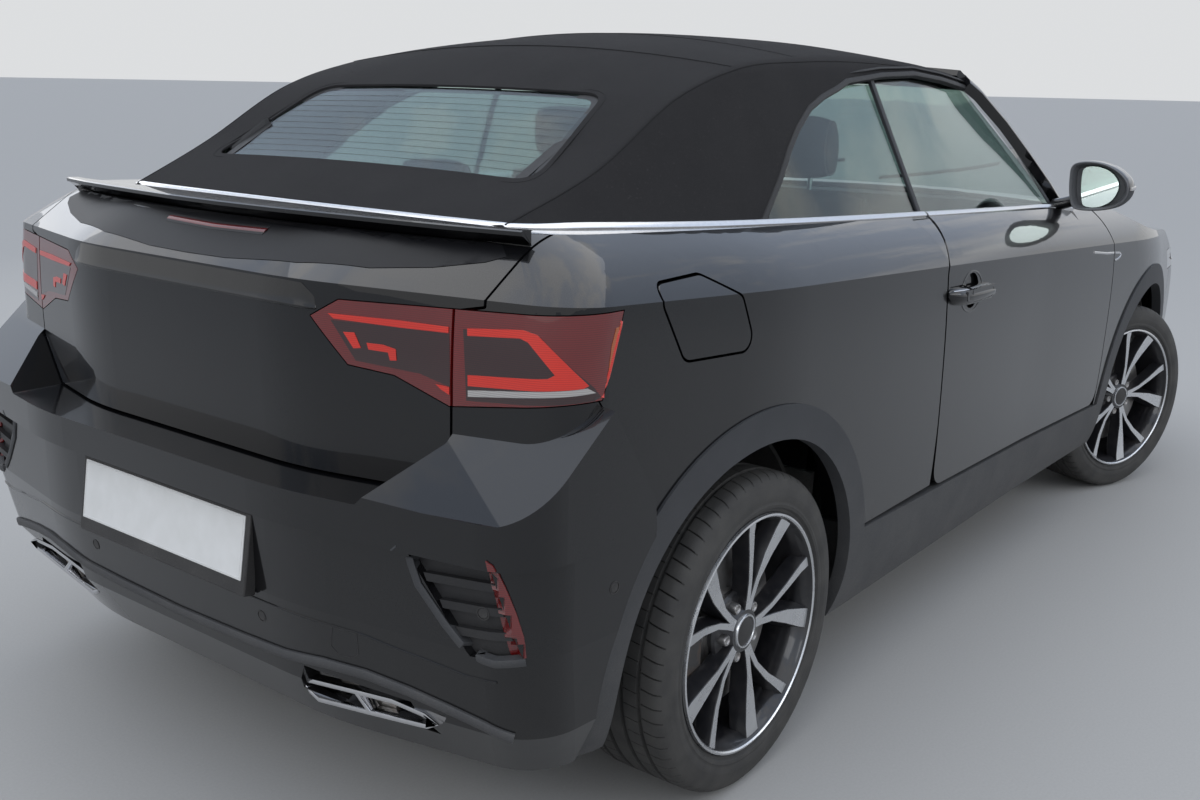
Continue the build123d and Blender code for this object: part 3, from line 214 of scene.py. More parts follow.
# Tail lamps: red moulded lenses over red light guides, a clear strip and an amber reflector. The
# fixed outer lamps sit on the bumper corners, and the inner lamps ride on the boot lid.
# Outlines are (along the diagonal that faces the rear corner, height), read off the right side.
MM = 0.001
TURN_STEPS = 144
DIAGONAL = Vector((1, 1, 0)).normalized()
DIAGONAL_SIDE = Vector((1, -1, 0)).normalized()
FORWARD = Vector((1, 0, 0))


def new_piece(name, verts, faces, finishes, face_finish=None, smooth=True, sharp=30.0):
    """A mesh piece with its finishes, shaded smooth except over sharp corners."""
    mesh = bpy.data.meshes.new(name)
    mesh.from_pydata([tuple(v) for v in verts], [], [tuple(f) for f in faces])
    for finish in finishes if isinstance(finishes, (list, tuple)) else [finishes]:
        mesh.materials.append(finish)
    if face_finish is not None:
        mesh.polygons.foreach_set("material_index", face_finish)
    made = bpy.data.objects.new(name, mesh)
    bpy.context.scene.collection.objects.link(made)
    if smooth:
        mesh.shade_smooth()
        mesh.set_sharp_from_angle(angle=math.radians(sharp))
    return made


def ring_faces(rings, count, closed=True):
    """Faces between rings of points that close up on themselves."""
    faces = []
    for i in range(rings):
        for j in range(count if closed else count - 1):
            k = (j + 1) % count
            n = (i + 1) % rings
            faces.append((i * count + j, n * count + j, n * count + k, i * count + k))
    return faces


def turned(profile, steps=TURN_STEPS, closed=True):
    """Points and faces of a profile (radius, along the axle) turned about the axle, in metres."""
    angles = np.arange(steps) * 2 * math.pi / steps
    verts = [(r * MM * math.cos(a), y * MM, r * MM * math.sin(a)) for a in angles for r, y in profile]
    return verts, ring_faces(steps, len(profile), closed)


def placed(piece, body):
    """A piece on its body."""
    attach(piece, body)
    return piece


def mirrored(piece, name):
    """The same piece on the car's other side."""
    twin = piece.data.copy()
    twin.transform(Matrix.Scale(-1, 4, (0, 1, 0)))
    twin.flip_normals()
    made = bpy.data.objects.new(name, twin)
    bpy.context.scene.collection.objects.link(made)
    return made


def both_sides(piece, body):
    """A right-hand piece and its left-hand twin, each on its own side's body."""
    twin = mirrored(piece, f"{piece.name}_left")
    piece.name += "_right"
    return placed(piece, body), placed(twin, body.replace("right", "left"))


def skin_of(*names):
    """A search tree over the surfaces of CAD nodes."""
    verts, faces = [], []
    for name in names:
        mesh = nodes[name].data
        start = len(verts)
        verts += [v.co.copy() for v in mesh.vertices]
        faces += [[start + i for i in p.vertices] for p in mesh.polygons]
    return BVHTree.FromPolygons(verts, faces)


def laid(skin, point, way):
    """A point in metres moved along a direction onto a surface: its place there and the outward normal."""
    place, normal, _, _ = skin.ray_cast(point - way * 0.5, way, 1.0)
    if place is None:
        place, normal, _, _ = skin.find_nearest(point)
    if normal.dot(way) > 0:
        normal = -normal
    return place, normal


def seen_from(way, side, origin):
    """Turns (side, height) in millimetres into a point in metres, before it is laid along the way."""
    return lambda a, z: side * (a * MM) + Vector((0, 0, z * MM)) + way * origin


from_corner = seen_from(DIAGONAL, DIAGONAL_SIDE, -1.9)
from_behind = seen_from(FORWARD, Vector((0, 1, 0)), -2.0)
from_right = seen_from(Vector((0, 1, 0)), FORWARD, -0.9)


def plate(name, outline, place_of, skin, way, finish, lift, thick, step=14.0):
    """A thin plate with a flat outline: cut to a lattice, laid on a surface and thickened."""
    mesh = bmesh.new()
    mesh.faces.new([mesh.verts.new((a, b, 0)) for a, b in outline])
    for axis in (0, 1):
        low = min(point[axis] for point in outline)
        high = max(point[axis] for point in outline)
        normal = (1 - axis, axis, 0)
        for k in range(math.ceil(low / step), math.floor(high / step) + 1):
            bmesh.ops.bisect_plane(mesh, geom=mesh.verts[:] + mesh.edges[:] + mesh.faces[:],
                                   plane_co=(k * step, k * step, 0), plane_no=normal)
    for vert in mesh.verts:
        place, normal = laid(skin, place_of(vert.co.x, vert.co.y), way)
        vert.co = place + normal * (lift + thick) * MM
    for face in mesh.faces:
        face.normal_update()
    if sum(face.normal.dot(way) for face in mesh.faces) > 0:
        bmesh.ops.reverse_faces(mesh, faces=mesh.faces[:])
    bmesh.ops.solidify(mesh, geom=mesh.faces[:], thickness=thick * MM)
    bmesh.ops.recalc_face_normals(mesh, faces=mesh.faces[:])
    made = bpy.data.meshes.new(name)
    mesh.to_mesh(made)
    mesh.free()
    made.materials.append(finish)
    made.shade_smooth()
    made.set_sharp_from_angle(angle=math.radians(35))
    plated = bpy.data.objects.new(name, made)
    bpy.context.scene.collection.objects.link(plated)
    return plated


def evenly(points, step):
    """A path cut into short equal steps, corners kept."""
    path = []
    for start, end in zip(points, points[1:]):
        start, end = Vector(start), Vector(end)
        count = max(1, math.ceil((end - start).length / step))
        path += [start.lerp(end, i / count) for i in range(count)]
    return path + [Vector(points[-1])]


def rail_on(skin, place_of, way, path, step=14):
    """A path in millimetres laid on a surface: (place, normal) at even steps."""
    return [laid(skin, place_of(p.x, p.y), way) for p in evenly(path, step)]


def tapered(count, least, steps):
    """Scales along a bar that thins out towards both ends."""
    return [min(1.0, least + min(i, count - 1 - i) / steps) for i in range(count)]


def strip(name, rail, section, finish, scale=None, closed=False):
    """A bar along a rail of (place, normal): its section is (across, out) in millimetres."""
    verts, faces = [], []
    count, ring = len(rail), len(section)
    for i, (place, normal) in enumerate(rail):
        before = rail[i - 1][0] if i or closed else place
        after = rail[(i + 1) % count][0] if i < count - 1 or closed else place
        along = (after - before).normalized()
        across = along.cross(normal).normalized()
        out = across.cross(along).normalized()
        wide = scale[i] if scale else 1.0
        verts += [place + (across * (a * wide) + out * (b * wide)) * MM for a, b in section]
    for i in range(count if closed else count - 1):
        n = (i + 1) % count
        for j in range(ring):
            k = (j + 1) % ring
            faces.append((i * ring + j, i * ring + k, n * ring + k, n * ring + j))
    if not closed:
        faces.append(range(ring))
        faces.append(range(count * ring - 1, (count - 1) * ring - 1, -1))
    return new_piece(name, verts, faces, finish, sharp=40)


def bar_section(width, height, sink=1.0):
    """A low rounded bar, standing on the surface and sunk into it by sink."""
    half = width / 2
    return [(-half, -sink), (-half, height * 0.55), (-half * 0.72, height * 0.9), (0, height),
            (half * 0.72, height * 0.9), (half, height * 0.55), (half, -sink)]


def box_between(name, low, high, finish, edge):
    """A box between two corners in millimetres, its edges rolled."""
    corners = [(x, y, z) for x in (low[0], high[0]) for y in (low[1], high[1]) for z in (low[2], high[2])]
    faces = [(0, 1, 3, 2), (4, 6, 7, 5), (0, 4, 5, 1), (2, 3, 7, 6), (0, 2, 6, 4), (1, 5, 7, 3)]
    made = new_piece(name, [Vector(c) * MM for c in corners], faces, finish)
    rolled = made.modifiers.new("rolled_edge", "BEVEL")
    rolled.width = edge * MM
    rolled.segments = 2
    return made


def lens_finish(name, deep, pale, roughness=0.12, coat=1.0):
    """Moulded lens: fine ribs behind a clear, slightly wavy face."""
    made, tree, shader, place = start_finish(
        name, Roughness=roughness, Coat_Weight=coat, Coat_Roughness=0.01, Coat_IOR=1.55)
    cloud = add_node(tree, "ShaderNodeTexNoise", {"Vector": place, "Scale": 7.0, "Detail": 3.0})
    ribs = add_node(tree, "ShaderNodeTexWave", {"Vector": place, "Scale": 90.0, "Distortion": 0.3},
                    bands_direction="Z")
    both = add_node(tree, "ShaderNodeMath", {
        0: cloud.outputs["Fac"], 1: ribs.outputs["Fac"]}, operation="MULTIPLY")
    tree.links.new(blend_colour(tree, both.outputs[0], deep, pale), shader.inputs["Base Color"])
    bump_from(tree, shader, cloud.outputs["Fac"], 0.0006)
    return made


lens_red = lens_finish("lens_red", (0.085, 0.002, 0.002, 1), (0.21, 0.008, 0.007, 1), 0.3)
lens_dark = lens_finish("lens_dark", (0.014, 0.001, 0.001, 1), (0.042, 0.004, 0.004, 1), 0.3)
guide_red = lens_finish("guide_red", (0.50, 0.016, 0.008, 1), (0.78, 0.040, 0.016, 1), 0.3, 0.6)
lens_amber = lens_finish("lens_amber", (0.32, 0.07, 0.012, 1), (0.42, 0.11, 0.02, 1))
lens_clear = lens_finish("lens_clear", (0.30, 0.28, 0.27, 1), (0.55, 0.53, 0.50, 1), 0.15)
lens_white = lens_finish("lens_white", (0.62, 0.62, 0.62, 1), (0.80, 0.80, 0.80, 1), 0.2)

dress(["tail_lamps", "lid_lamps"], lens_red)
lamp_skin = skin_of("tail_lamps", "lid_lamps")
OUTER_WINDOW = [(-921, 1010), (-815, 1017), (-715, 927), (-700, 906), (-917, 893)]
INNER_WINDOW = [(-1142, 1001), (-943, 1000), (-943, 912), (-992, 928), (-1100, 936)]
OUTER_LOOP = [(-914, 1012), (-828, 1019), (-806, 1013), (-724, 931), (-733, 927), (-914, 918), (-914, 936),
              (-790, 944), (-779, 950), (-820, 1000), (-832, 1005), (-914, 1000)]
CLEAR_STRIP = [(-914, 911), (-812, 922), (-726, 927), (-712, 918), (-812, 912), (-914, 900)]
INNER_BAND = [(-1146, 1012), (-1025, 1013), (-944, 1011), (-944, 1001), (-1025, 1001), (-1136, 1004)]
INNER_L = [(-1120, 983), (-1101, 984), (-1090, 959), (-1103, 957)]
OUTER_L = [(-1080, 969), (-1052, 969), (-1031, 964), (-1030, 945), (-1041, 944), (-1044, 957), (-1077, 958)]
LOW_WEDGE = [(-966, 914), (-944, 912), (-944, 899), (-957, 906)]
AMBER = [(-678, 1018), (-648, 1024), (-665, 978), (-691, 945), (-686, 989)]
EDGE_LINE = [(-641, 1026), (-669, 967), (-700, 908)]
LAMP_PARTS = [
    # name, outline, finish, body, how far it stands off the lens, thickness
    ("lamp_window_outer", OUTER_WINDOW, lens_dark, "body", 0.15, 0.3),
    ("lamp_loop", OUTER_LOOP, guide_red, "body", 0.5, 1.2),
    ("lamp_clear_strip", CLEAR_STRIP, lens_clear, "body", 0.5, 1.0),
    ("lamp_amber", AMBER, lens_amber, "body", 0.15, 0.6),
    ("lamp_window_inner", INNER_WINDOW, lens_dark, "boot_lid", 0.15, 0.3),
    ("lamp_band_inner", INNER_BAND, guide_red, "boot_lid", 0.5, 1.2),
    ("lamp_mark_inner", INNER_L, guide_red, "boot_lid", 0.5, 1.0),
    ("lamp_mark_outer", OUTER_L, guide_red, "boot_lid", 0.5, 1.0),
    ("lamp_wedge", LOW_WEDGE, guide_red, "boot_lid", 0.5, 1.0),
]
for name, outline, finish, body, lift, thick in LAMP_PARTS:
    both_sides(plate(name, outline, from_corner, lamp_skin, DIAGONAL, finish, lift, thick), body)
edge_rail = rail_on(lamp_skin, from_corner, DIAGONAL, EDGE_LINE, 12)
both_sides(strip("lamp_edge", edge_rail, bar_section(6, 1.4), guide_red), "body")

# Lid spoiler: a thin moulded blade screwed to the top edge of the boot lid, painted like the body.
# Its trailing edge bows back in the middle, and its underside slopes up to the lid.
# Trailing edge, from the middle to the tip, as (sideways, lengthwise)
SPOILER_EDGE = [(0, -1950), (150, -1944), (300, -1927), (430, -1911), (554, -1893), (640, -1873),
                (692, -1859)]
SPOILER_FRONT_X, SPOILER_TOP_Z = -1834.0, 1078.0
SPOILER_LIP, SPOILER_DEEP = 8.0, 25.0
BELT_SLOPE = 0.0448


def faced_outward(made):
    """The same piece with all its faces turned outward."""
    mesh = bmesh.new()
    mesh.from_mesh(made.data)
    bmesh.ops.recalc_face_normals(mesh, faces=mesh.faces[:])
    mesh.to_mesh(made.data)
    mesh.free()
    return made


def closed_loft(name, rings, finishes, ring_finish=None, sharp=40):
    """A closed piece through rings of equal count, in metres, capped at both ends."""
    count = len(rings[0])
    faces = [range(count - 1, -1, -1)]
    index = [0]
    for i in range(len(rings) - 1):
        for j in range(count):
            k = (j + 1) % count
            faces.append((i * count + j, i * count + k, (i + 1) * count + k, (i + 1) * count + j))
            index.append(ring_finish(i, j) if ring_finish else 0)
    faces.append(range((len(rings) - 1) * count, len(rings) * count))
    index.append(ring_finish(len(rings) - 1, 0) if ring_finish else 0)
    verts = [v for ring in rings for v in ring]
    return faced_outward(new_piece(name, verts, faces, finishes, index, sharp=sharp))


spoiler_stations = [(-y, x) for y, x in reversed(SPOILER_EDGE[1:])] + SPOILER_EDGE
spoiler_rings = []
for y, x in spoiler_stations:
    top = SPOILER_TOP_Z - BELT_SLOPE * x
    front = SPOILER_TOP_Z - BELT_SLOPE * SPOILER_FRONT_X
    section = [(SPOILER_FRONT_X, front), (x + 30, top), (x + 4, top + 1), (x, top - 1),
               (x + 1, top - SPOILER_LIP), (x + 6, top - SPOILER_LIP - 2), (x + 26, top - SPOILER_DEEP),
               (SPOILER_FRONT_X, front - SPOILER_DEEP)]
    spoiler_rings.append([Vector((a, y, b)) * MM for a, b in section])
spoiler = closed_loft("spoiler", spoiler_rings, black_paint, sharp=25)
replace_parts(placed(spoiler, "boot_lid"), "boot_spoiler")

# Boot lid: pressed steel with a crease between the lamps. Under the spoiler's edge lie a satin black sheet
# of painted shade for the spoiler's shadow, and the third brake light, a red lens in a black frame. The badge
# place stays bare.
lid_skin = skin_of("boot_lid")
DOWN = Vector((0, 0, -1))


def clouded_finish(name, first, second, scale, detail, rough=None, depth=0.0, **values):
    """A finish that drifts between two tones in soft clouds, and its roughness or relief with them."""
    made, tree, shader, place = start_finish(name, **values)
    noise = add_node(tree, "ShaderNodeTexNoise", {"Vector": place, "Scale": scale, "Detail": detail})
    cloud = noise.outputs["Fac"]
    tree.links.new(blend_colour(tree, cloud, first, second), shader.inputs["Base Color"])
    if rough:
        rough_from(tree, shader, cloud, *rough)
    if depth:
        bump_from(tree, shader, cloud, depth)
    return made


satin_black = clouded_finish("satin_black", (0.004, 0.004, 0.005, 1), (0.008, 0.008, 0.009, 1), 30.0, 4.0,
                             depth=0.0001, Roughness=0.42, Specular_IOR_Level=0.25)


def from_above(x, y):
    """A plan place in millimetres, ready to be laid downwards."""
    return Vector((x * MM, y * MM, 1.3))


# A thin satin black plate laid on the lid under the spoiler: painted shade where the spoiler shadows the lid,
# not a real hollow
SPOILER_SHADE = [(-1868, 668), (-1890, 640), (-1930, 560), (-1972, 450), (-2006, 300), (-2022, 120), (-2024, 0)]
# How far the painted shade runs in below the spoiler's edge
SPOILER_SHADE_UNDER = 24
spoiler_shade_half = SPOILER_SHADE + [(x, -y) for x, y in reversed(SPOILER_SHADE[:-1])]
spoiler_shade_top = [(x + SPOILER_SHADE_UNDER, y) for y, x in spoiler_stations[1:-1]]
spoiler_shade = plate("lid_spoiler_shade", spoiler_shade_half + spoiler_shade_top, from_above, lid_skin, DOWN, satin_black, 0.1, 0.8, 20)
placed(spoiler_shade, "boot_lid")
BRAKE_LIGHT = [(-1952, 152), (-1956, 0), (-1952, -152)]
brake_rail = rail_on(lid_skin, from_above, DOWN, BRAKE_LIGHT, 12)
brake_frame = strip("brake_light_frame", brake_rail, bar_section(24, 2.2, 2), black_plastic)
placed(brake_frame, "boot_lid")
placed(strip("brake_light", brake_rail, bar_section(12, 3.6, 0), lens_red), "boot_lid")
CREASE = [(392, 1020), (300, 1021), (71, 1020), (-71, 1020), (-300, 1020), (-392, 1017)]
CREASE_SECTION = [(-40, -2), (-40, 0.3), (-14, 3.2), (-2, 5.6), (0, 6.2), (2, 5.6), (5, 0.5), (6, -2)]
crease_rail = rail_on(lid_skin, from_behind, FORWARD, CREASE, 16)
crease_scale = tapered(len(crease_rail), 0.25, 4)
placed(strip("lid_crease", crease_rail, CREASE_SECTION, black_paint, crease_scale), "boot_lid")

# Number plate: a blank white plate with a pressed rim, in a black moulded holder that is screwed to
# the bumper and leans with it.
plate_white = clouded_finish("plate_white", (0.62, 0.62, 0.60, 1), (0.74, 0.74, 0.73, 1), 25.0, 5.0,
                             depth=0.00008, Roughness=0.35, Coat_Weight=0.4, Coat_Roughness=0.2)
PLATE_WIDTH, PLATE_HEIGHT, PLATE_RIM = 520.0, 120.0, 4.0
PLATE_CENTRE = Vector((-2115.0, 0.0, 577.0))
PLATE_TILT = math.radians(9)
PLATE_STACK = [
    # name, half width, low, high, back, front, finish, edge
    ("plate_holder", 272, -88, 66, 24, -1.5, black_plastic, 3.0),
    ("plate_blank", PLATE_WIDTH / 2, -PLATE_HEIGHT / 2, PLATE_HEIGHT / 2, 2, -3.2, plate_white, 0.6),
]
REARWARD = Vector((-1, 0, 0))
plate_pieces = [box_between(name, (front, -half, low), (back, half, high), finish, edge)
                for name, half, low, high, back, front, finish, edge in PLATE_STACK]
rim_y, rim_z = PLATE_WIDTH / 2 - PLATE_RIM, PLATE_HEIGHT / 2 - PLATE_RIM
rim_path = [(-rim_y, -rim_z), (rim_y, -rim_z), (rim_y, rim_z), (-rim_y, rim_z)]
rim_rail = [(Vector((-3.0, y, z)) * MM, REARWARD) for y, z in rim_path]
plate_pieces.append(strip("plate_rim", rim_rail, bar_section(3.0, 1.0, 0.5), plate_white, closed=True))
for piece in plate_pieces:
    piece.matrix_world = Matrix.Translation(PLATE_CENTRE * MM) @ Matrix.Rotation(PLATE_TILT, 4, "Y")
    placed(piece, "body")

# Rear bumper: one painted moulding with a pressed fold, a tow-eye cover, a grained lower lip, and
# ribbed vents that end in tall red reflectors.
dress(["rear_valance"], black_paint)
bumper_skin = skin_of("rear_bumper", "rear_valance")
vent_skins = skin_of("rear_bumper", "rear_valance", "vents")
FOLD = [(0, 478), (-335, 478), (-520, 476), (-587, 467), (-664, 459), (-730, 450), (-788, 452)]
FOLD_SECTION = [(-3.2, -1), (-2.4, 1.6), (0, 2.4), (2, 1.0), (2.6, -1)]
LIP = [(0, 372), (-200, 377), (-330, 383), (-424, 394), (-518, 395), (-607, 385), (-691, 370), (-753, 357),
       (-798, 343)]
BUMPER_BARS = [
    # name, path, section, finish, slot
    ("bumper_fold", FOLD, FOLD_SECTION, black_paint, "black_gloss"),
    ("bumper_lip", LIP, bar_section(20, 7, 3), cladding_plastic, "cladding"),
]
for name, path, section, finish, slot in BUMPER_BARS:
    bar_rail = rail_on(bumper_skin, from_behind, FORWARD, path)
    both_sides(strip(name, bar_rail, section, finish), "body")
TOW_COVER = [(-459, 474), (-512, 474), (-508, 432), (-494, 421), (-462, 421), (-449, 434)]
tow_rail = [laid(bumper_skin, from_behind(y, z), FORWARD) for y, z in TOW_COVER]
tow_cover = strip("tow_cover", tow_rail, bar_section(2.4, 0.7, 0.4), black_plastic, closed=True)
placed(tow_cover, "body")
REFLECTOR = [(-891, 677), (-880, 670), (-860, 628), (-843, 584), (-831, 543), (-827, 506), (-849, 500),
             (-852, 508), (-863, 551), (-873, 595), (-881, 628)]
reflector = plate("reflector", REFLECTOR, from_corner, vent_skins, DIAGONAL, lens_red, 0.5, 3.0, 10)
both_sides(reflector, "body")
VENT_FRAME = [(-622, 664), (-648, 597), (-698, 540), (-736, 504), (-760, 493), (-790, 489), (-834, 497)]
frame_rail = rail_on(bumper_skin, from_behind, FORWARD, VENT_FRAME, 10)
both_sides(strip("vent_frame", frame_rail, bar_section(15, 3.5, 12), cladding_plastic), "body")

# Exhaust trims: plated rims pressed into the valance round two dark mouths, each with a slanted bar.
# They follow the valance as it sweeps forward to the sides.
chrome = clouded_finish("chrome", (0.58, 0.58, 0.59, 1), (0.72, 0.72, 0.73, 1), 45.0, 5.0,
                        rough=(0.06, 0.2), Metallic=1.0, Roughness=0.12)
EXHAUST_TRIM = [(-333, 324), (-456, 338), (-558, 349), (-633, 346), (-662, 337), (-638, 326), (-501, 309),
                (-377, 295), (-356, 304)]
EXHAUST_BAR = [(-473, 338), (-504, 311)]
TRIM_X, TRIM_SWEEP, TRIM_INNER_Y = -2052.0, 0.072, 330
MOUTH_INSET, MOUTH_REACH = 0.012, 0.05
for name, path, closed in (("exhaust_trim", EXHAUST_TRIM, True), ("exhaust_bar", EXHAUST_BAR, False)):
    trim_rail = [(Vector((TRIM_X + TRIM_SWEEP * (abs(y) - TRIM_INNER_Y), y, z)) * MM, REARWARD)
                 for y, z in path]
    both_sides(strip(name, trim_rail, bar_section(11, 9, 14), chrome, closed=closed), "body")
dark_mouth = plate("exhaust_mouth", EXHAUST_TRIM, from_behind, bumper_skin, FORWARD, satin_black,
                   0.3, 1.0, 40)
for vert in dark_mouth.data.vertices:
    if vert.co.x < TRIM_X * MM + MOUTH_REACH:
        vert.co.x = TRIM_X * MM + MOUTH_INSET
both_sides(dark_mouth, "body")

# Parking sensors: low black buttons in thin rings, pushed through the bumper from inside, square to
# its surface: two behind, one in each vent and one on each flank.
SENSOR = [(0.05, 0.8), (8.4, 0.8), (8.9, 0.2), (8.9, -1), (10.0, -1), (10.0, 0.9), (11.6, 0.9), (11.9, -1)]
SENSOR_STEPS = 32
REAR_SENSOR_Y, REAR_SENSOR_Z = 275, 444
FLANK_SENSOR = (-1834, 900, 583)
VENT_SENSOR = (-2035, 770, 573)


def sensor(name, place, normal):
    """A sensor stood on the surface, square to it."""
    turn = Vector((0, 1, 0)).rotation_difference(normal).to_matrix().to_4x4()
    button = new_piece(name, *turned(SENSOR, SENSOR_STEPS, closed=False), black_plastic)
    button.matrix_world = Matrix.Translation(place) @ turn
    placed(button, "body")


for number, side in enumerate((-1, 1)):
    behind = from_behind(side * REAR_SENSOR_Y, REAR_SENSOR_Z)
    sensor(f"rear_sensor_{number}", *laid(bumper_skin, behind, FORWARD))
for number, side in enumerate((-1, 1)):
    beside, at_vent = (Vector((x, side * y, z)) * MM for x, y, z in (FLANK_SENSOR, VENT_SENSOR))
    sensor(f"side_sensor_{number}", *laid(bumper_skin, beside, Vector((0, -side, 0))))
    sensor(f"vent_sensor_{number}", *laid(vent_skins, at_vent, FORWARD))

# Cloth roof: one charcoal woven sheet stretched over bows from the header to the rear deck, cut out
# for the side windows and the rear window, with welted seams along both edges and across two bows.
# Roof stations: lengthwise, belt half width, edge sideways and height, crown height, edge softness
ROOF_STATIONS = [
    (240, 781, 586, 1417, 1449, 34), (200, 782, 588, 1422, 1456, 34), (-100, 784, 597, 1449, 1502, 40),
    (-450, 784, 602, 1461, 1522, 42), (-800, 778, 604, 1455, 1514, 30), (-1080, 762, 604, 1432, 1476, 16),
    (-1300, 738, 602, 1370, 1388, 9), (-1550, 690, 598, 1238, 1252, 9), (-1770, 638, 564, 1149, 1156, 9),
]
CLOTH_T = 5.0
BELT_AT_MIDDLE = 1070.0
FOOT_DROP, FLANK_DROP = 40.0, 14.0
FLANK_STEPS, EDGE_STEPS, TOP_STEPS = 12, 5, 36
ROOF_STEPS = 104
HEADER_MID_X, HEADER_END_X, HEADER_END_Y = 170.0, 98.0, 585.0
ROOF_END_X = -1766.0
station_x = np.array([row[0] for row in ROOF_STATIONS], float)
station_values = np.array([row[1:] for row in ROOF_STATIONS], float)
station_slopes = np.gradient(station_values, station_x, axis=0)


def roof_row(x):
    """Belt half width, edge, crown and softness at a station, on a smooth curve through the table."""
    i = int(np.clip(np.searchsorted(-station_x, -x) - 1, 0, len(station_x) - 2))
    span = station_x[i + 1] - station_x[i]
    t = (x - station_x[i]) / span
    first, last = 2 * t**3 - 3 * t**2 + 1, 3 * t**2 - 2 * t**3
    bend_first, bend_last = (t**3 - 2 * t**2 + t) * span, (t**3 - t**2) * span
    return (first * station_values[i] + last * station_values[i + 1]
            + bend_first * station_slopes[i] + bend_last * station_slopes[i + 1])


def belt_height(x):
    """Height of the belt line, which rises towards the rear."""
    return BELT_AT_MIDDLE - BELT_SLOPE * x


def roof_profile(x):
    """Half of the roof's section, as (sideways, height) from the belt up to the middle."""
    belt, edge_y, edge_z, crown, soft = roof_row(x)
    foot_z = belt_height(x) - FOOT_DROP
    low_z = belt_height(x) - FLANK_DROP
    low_y = belt + (edge_y - belt) * (low_z - foot_z) / (edge_z - foot_z)
    flank = Vector((edge_y - low_y, edge_z - low_z)).normalized()
    rise = crown - edge_z
    radius = (edge_y**2 + rise**2) / (2 * rise)
    half_turn = math.asin(edge_y / radius)
    start = Vector((edge_y, edge_z)) - flank * soft
    skip = soft / radius
    points = [Vector((low_y, low_z)).lerp(start, i / FLANK_STEPS) for i in range(FLANK_STEPS)]
    turn = half_turn - skip
    after = Vector((radius * math.sin(turn), crown - radius * (1 - math.cos(turn))))
    for i in range(EDGE_STEPS):
        t = i / EDGE_STEPS
        points.append(start * (1 - t) ** 2 + Vector((edge_y, edge_z)) * 2 * t * (1 - t) + after * t * t)
    for i in range(TOP_STEPS // 2 + 1):
        turn = (half_turn - skip) * (1 - i / (TOP_STEPS // 2))
        points.append(Vector((radius * math.sin(turn), crown - radius * (1 - math.cos(turn)))))
    return points


# Bows press the cloth up from inside, and it sags a little between them
BOWS = (130.0, -330.0, -800.0, -1080.0)
SAG = 3.2
SAG_WIDTH = 560


def bow_sag(x):
    """How far the cloth hangs below its crown at a place between two bows."""
    for front, back in zip(BOWS, BOWS[1:]):
        if back <= x <= front:
            return -SAG * math.sin(math.pi * (front - x) / (front - back))
    return 0.0


def section_normal(half, k):
    """The outward way, as (sideways, up), at a point of half a roof section."""
    if k >= len(half) - 1:
        return Vector((0, 1))
    along = (half[k + 1] - half[max(0, k - 1)]).normalized()
    outward = Vector((along.y, -along.x))
    return -outward if outward.y < 0 and k > FLANK_STEPS else outward


def roof_grid(lower):
    """Points of the cloth, row by row from the header to the deck, a distance below its outer face."""
    rows = []
    for i in range(ROOF_STEPS + 1):
        share = i / ROOF_STEPS
        half = roof_profile(HEADER_MID_X + (ROOF_END_X - HEADER_MID_X) * share)
        half_count = len(half)
        row = []
        for j in range(2 * half_count - 1):
            side = -1 if j < half_count else 1
            k = j if j < half_count else 2 * half_count - 2 - j
            reach = min(1.0, half[k].x / HEADER_END_Y)
            front = HEADER_MID_X + (HEADER_END_X - HEADER_MID_X) * reach**2
            x = front + (ROOF_END_X - front) * share
            here = roof_profile(x)
            outward = section_normal(here, k)
            y = here[k].x - outward.x * lower
            z = here[k].y + bow_sag(x) * max(0.0, 1 - (half[k].x / SAG_WIDTH) ** 2) - outward.y * lower
            row.append(Vector((x, side * y, z)) * MM)
        rows.append(row)
    return rows


outer_rows = roof_grid(0.0)
inner_rows = roof_grid(CLOTH_T)
across = len(outer_rows[0])
count = across * len(outer_rows)
cloth_verts = [v for row in outer_rows for v in row] + [v for row in inner_rows for v in row]
cloth_faces = []
for i in range(ROOF_STEPS):
    for j in range(across - 1):
        a, b, c, d = i * across + j, i * across + j + 1, (i + 1) * across + j + 1, (i + 1) * across + j
        cloth_faces.append((a, b, c, d))
        cloth_faces.append((count + d, count + c, count + b, count + a))
edge_loop = list(range(across)) + [(i + 1) * across - 1 for i in range(1, ROOF_STEPS)]
edge_loop += [ROOF_STEPS * across + j for j in range(across - 1, -1, -1)]
edge_loop += [i * across for i in range(ROOF_STEPS - 1, 0, -1)]
for a, b in zip(edge_loop, edge_loop[1:] + edge_loop[:1]):
    cloth_faces.append((b, a, count + a, count + b))

woven_cloth, tree, shader, place = start_finish("woven_cloth", Roughness=0.92, Specular_IOR_Level=0.18)
threads = []
for direction in ("X", "Y"):
    wave = add_node(tree, "ShaderNodeTexWave", {
        "Vector": place, "Scale": 420.0, "Distortion": 0.6, "Detail": 1.0}, bands_direction=direction)
    threads.append(wave.outputs["Fac"])
weave = add_node(tree, "ShaderNodeMath", {0: threads[0], 1: threads[1]}, operation="MULTIPLY")
cloth_cloud = add_node(tree, "ShaderNodeTexNoise", {
    "Vector": place, "Scale": 5.0, "Detail": 7.0, "Roughness": 0.65})
cloth_lint = add_node(tree, "ShaderNodeTexNoise", {"Vector": place, "Scale": 240.0, "Detail": 3.0})
lint_mask = add_node(tree, "ShaderNodeMapRange", {
    "Value": cloth_lint.outputs["Fac"], "From Min": 0.62, "From Max": 0.8, "To Min": 0.0, "To Max": 0.5})
cloth_tone = blend_colour(
    tree, cloth_cloud.outputs["Fac"], (0.017, 0.017, 0.018, 1), (0.031, 0.030, 0.031, 1))
tree.links.new(blend_colour(tree, lint_mask.outputs["Result"], cloth_tone, (0.075, 0.073, 0.072, 1)),
               shader.inputs["Base Color"])
bump_from(tree, shader, weave.outputs[0], 0.00035)
cloth_roof = new_piece("cloth_roof", cloth_verts, cloth_faces, woven_cloth, sharp=50)

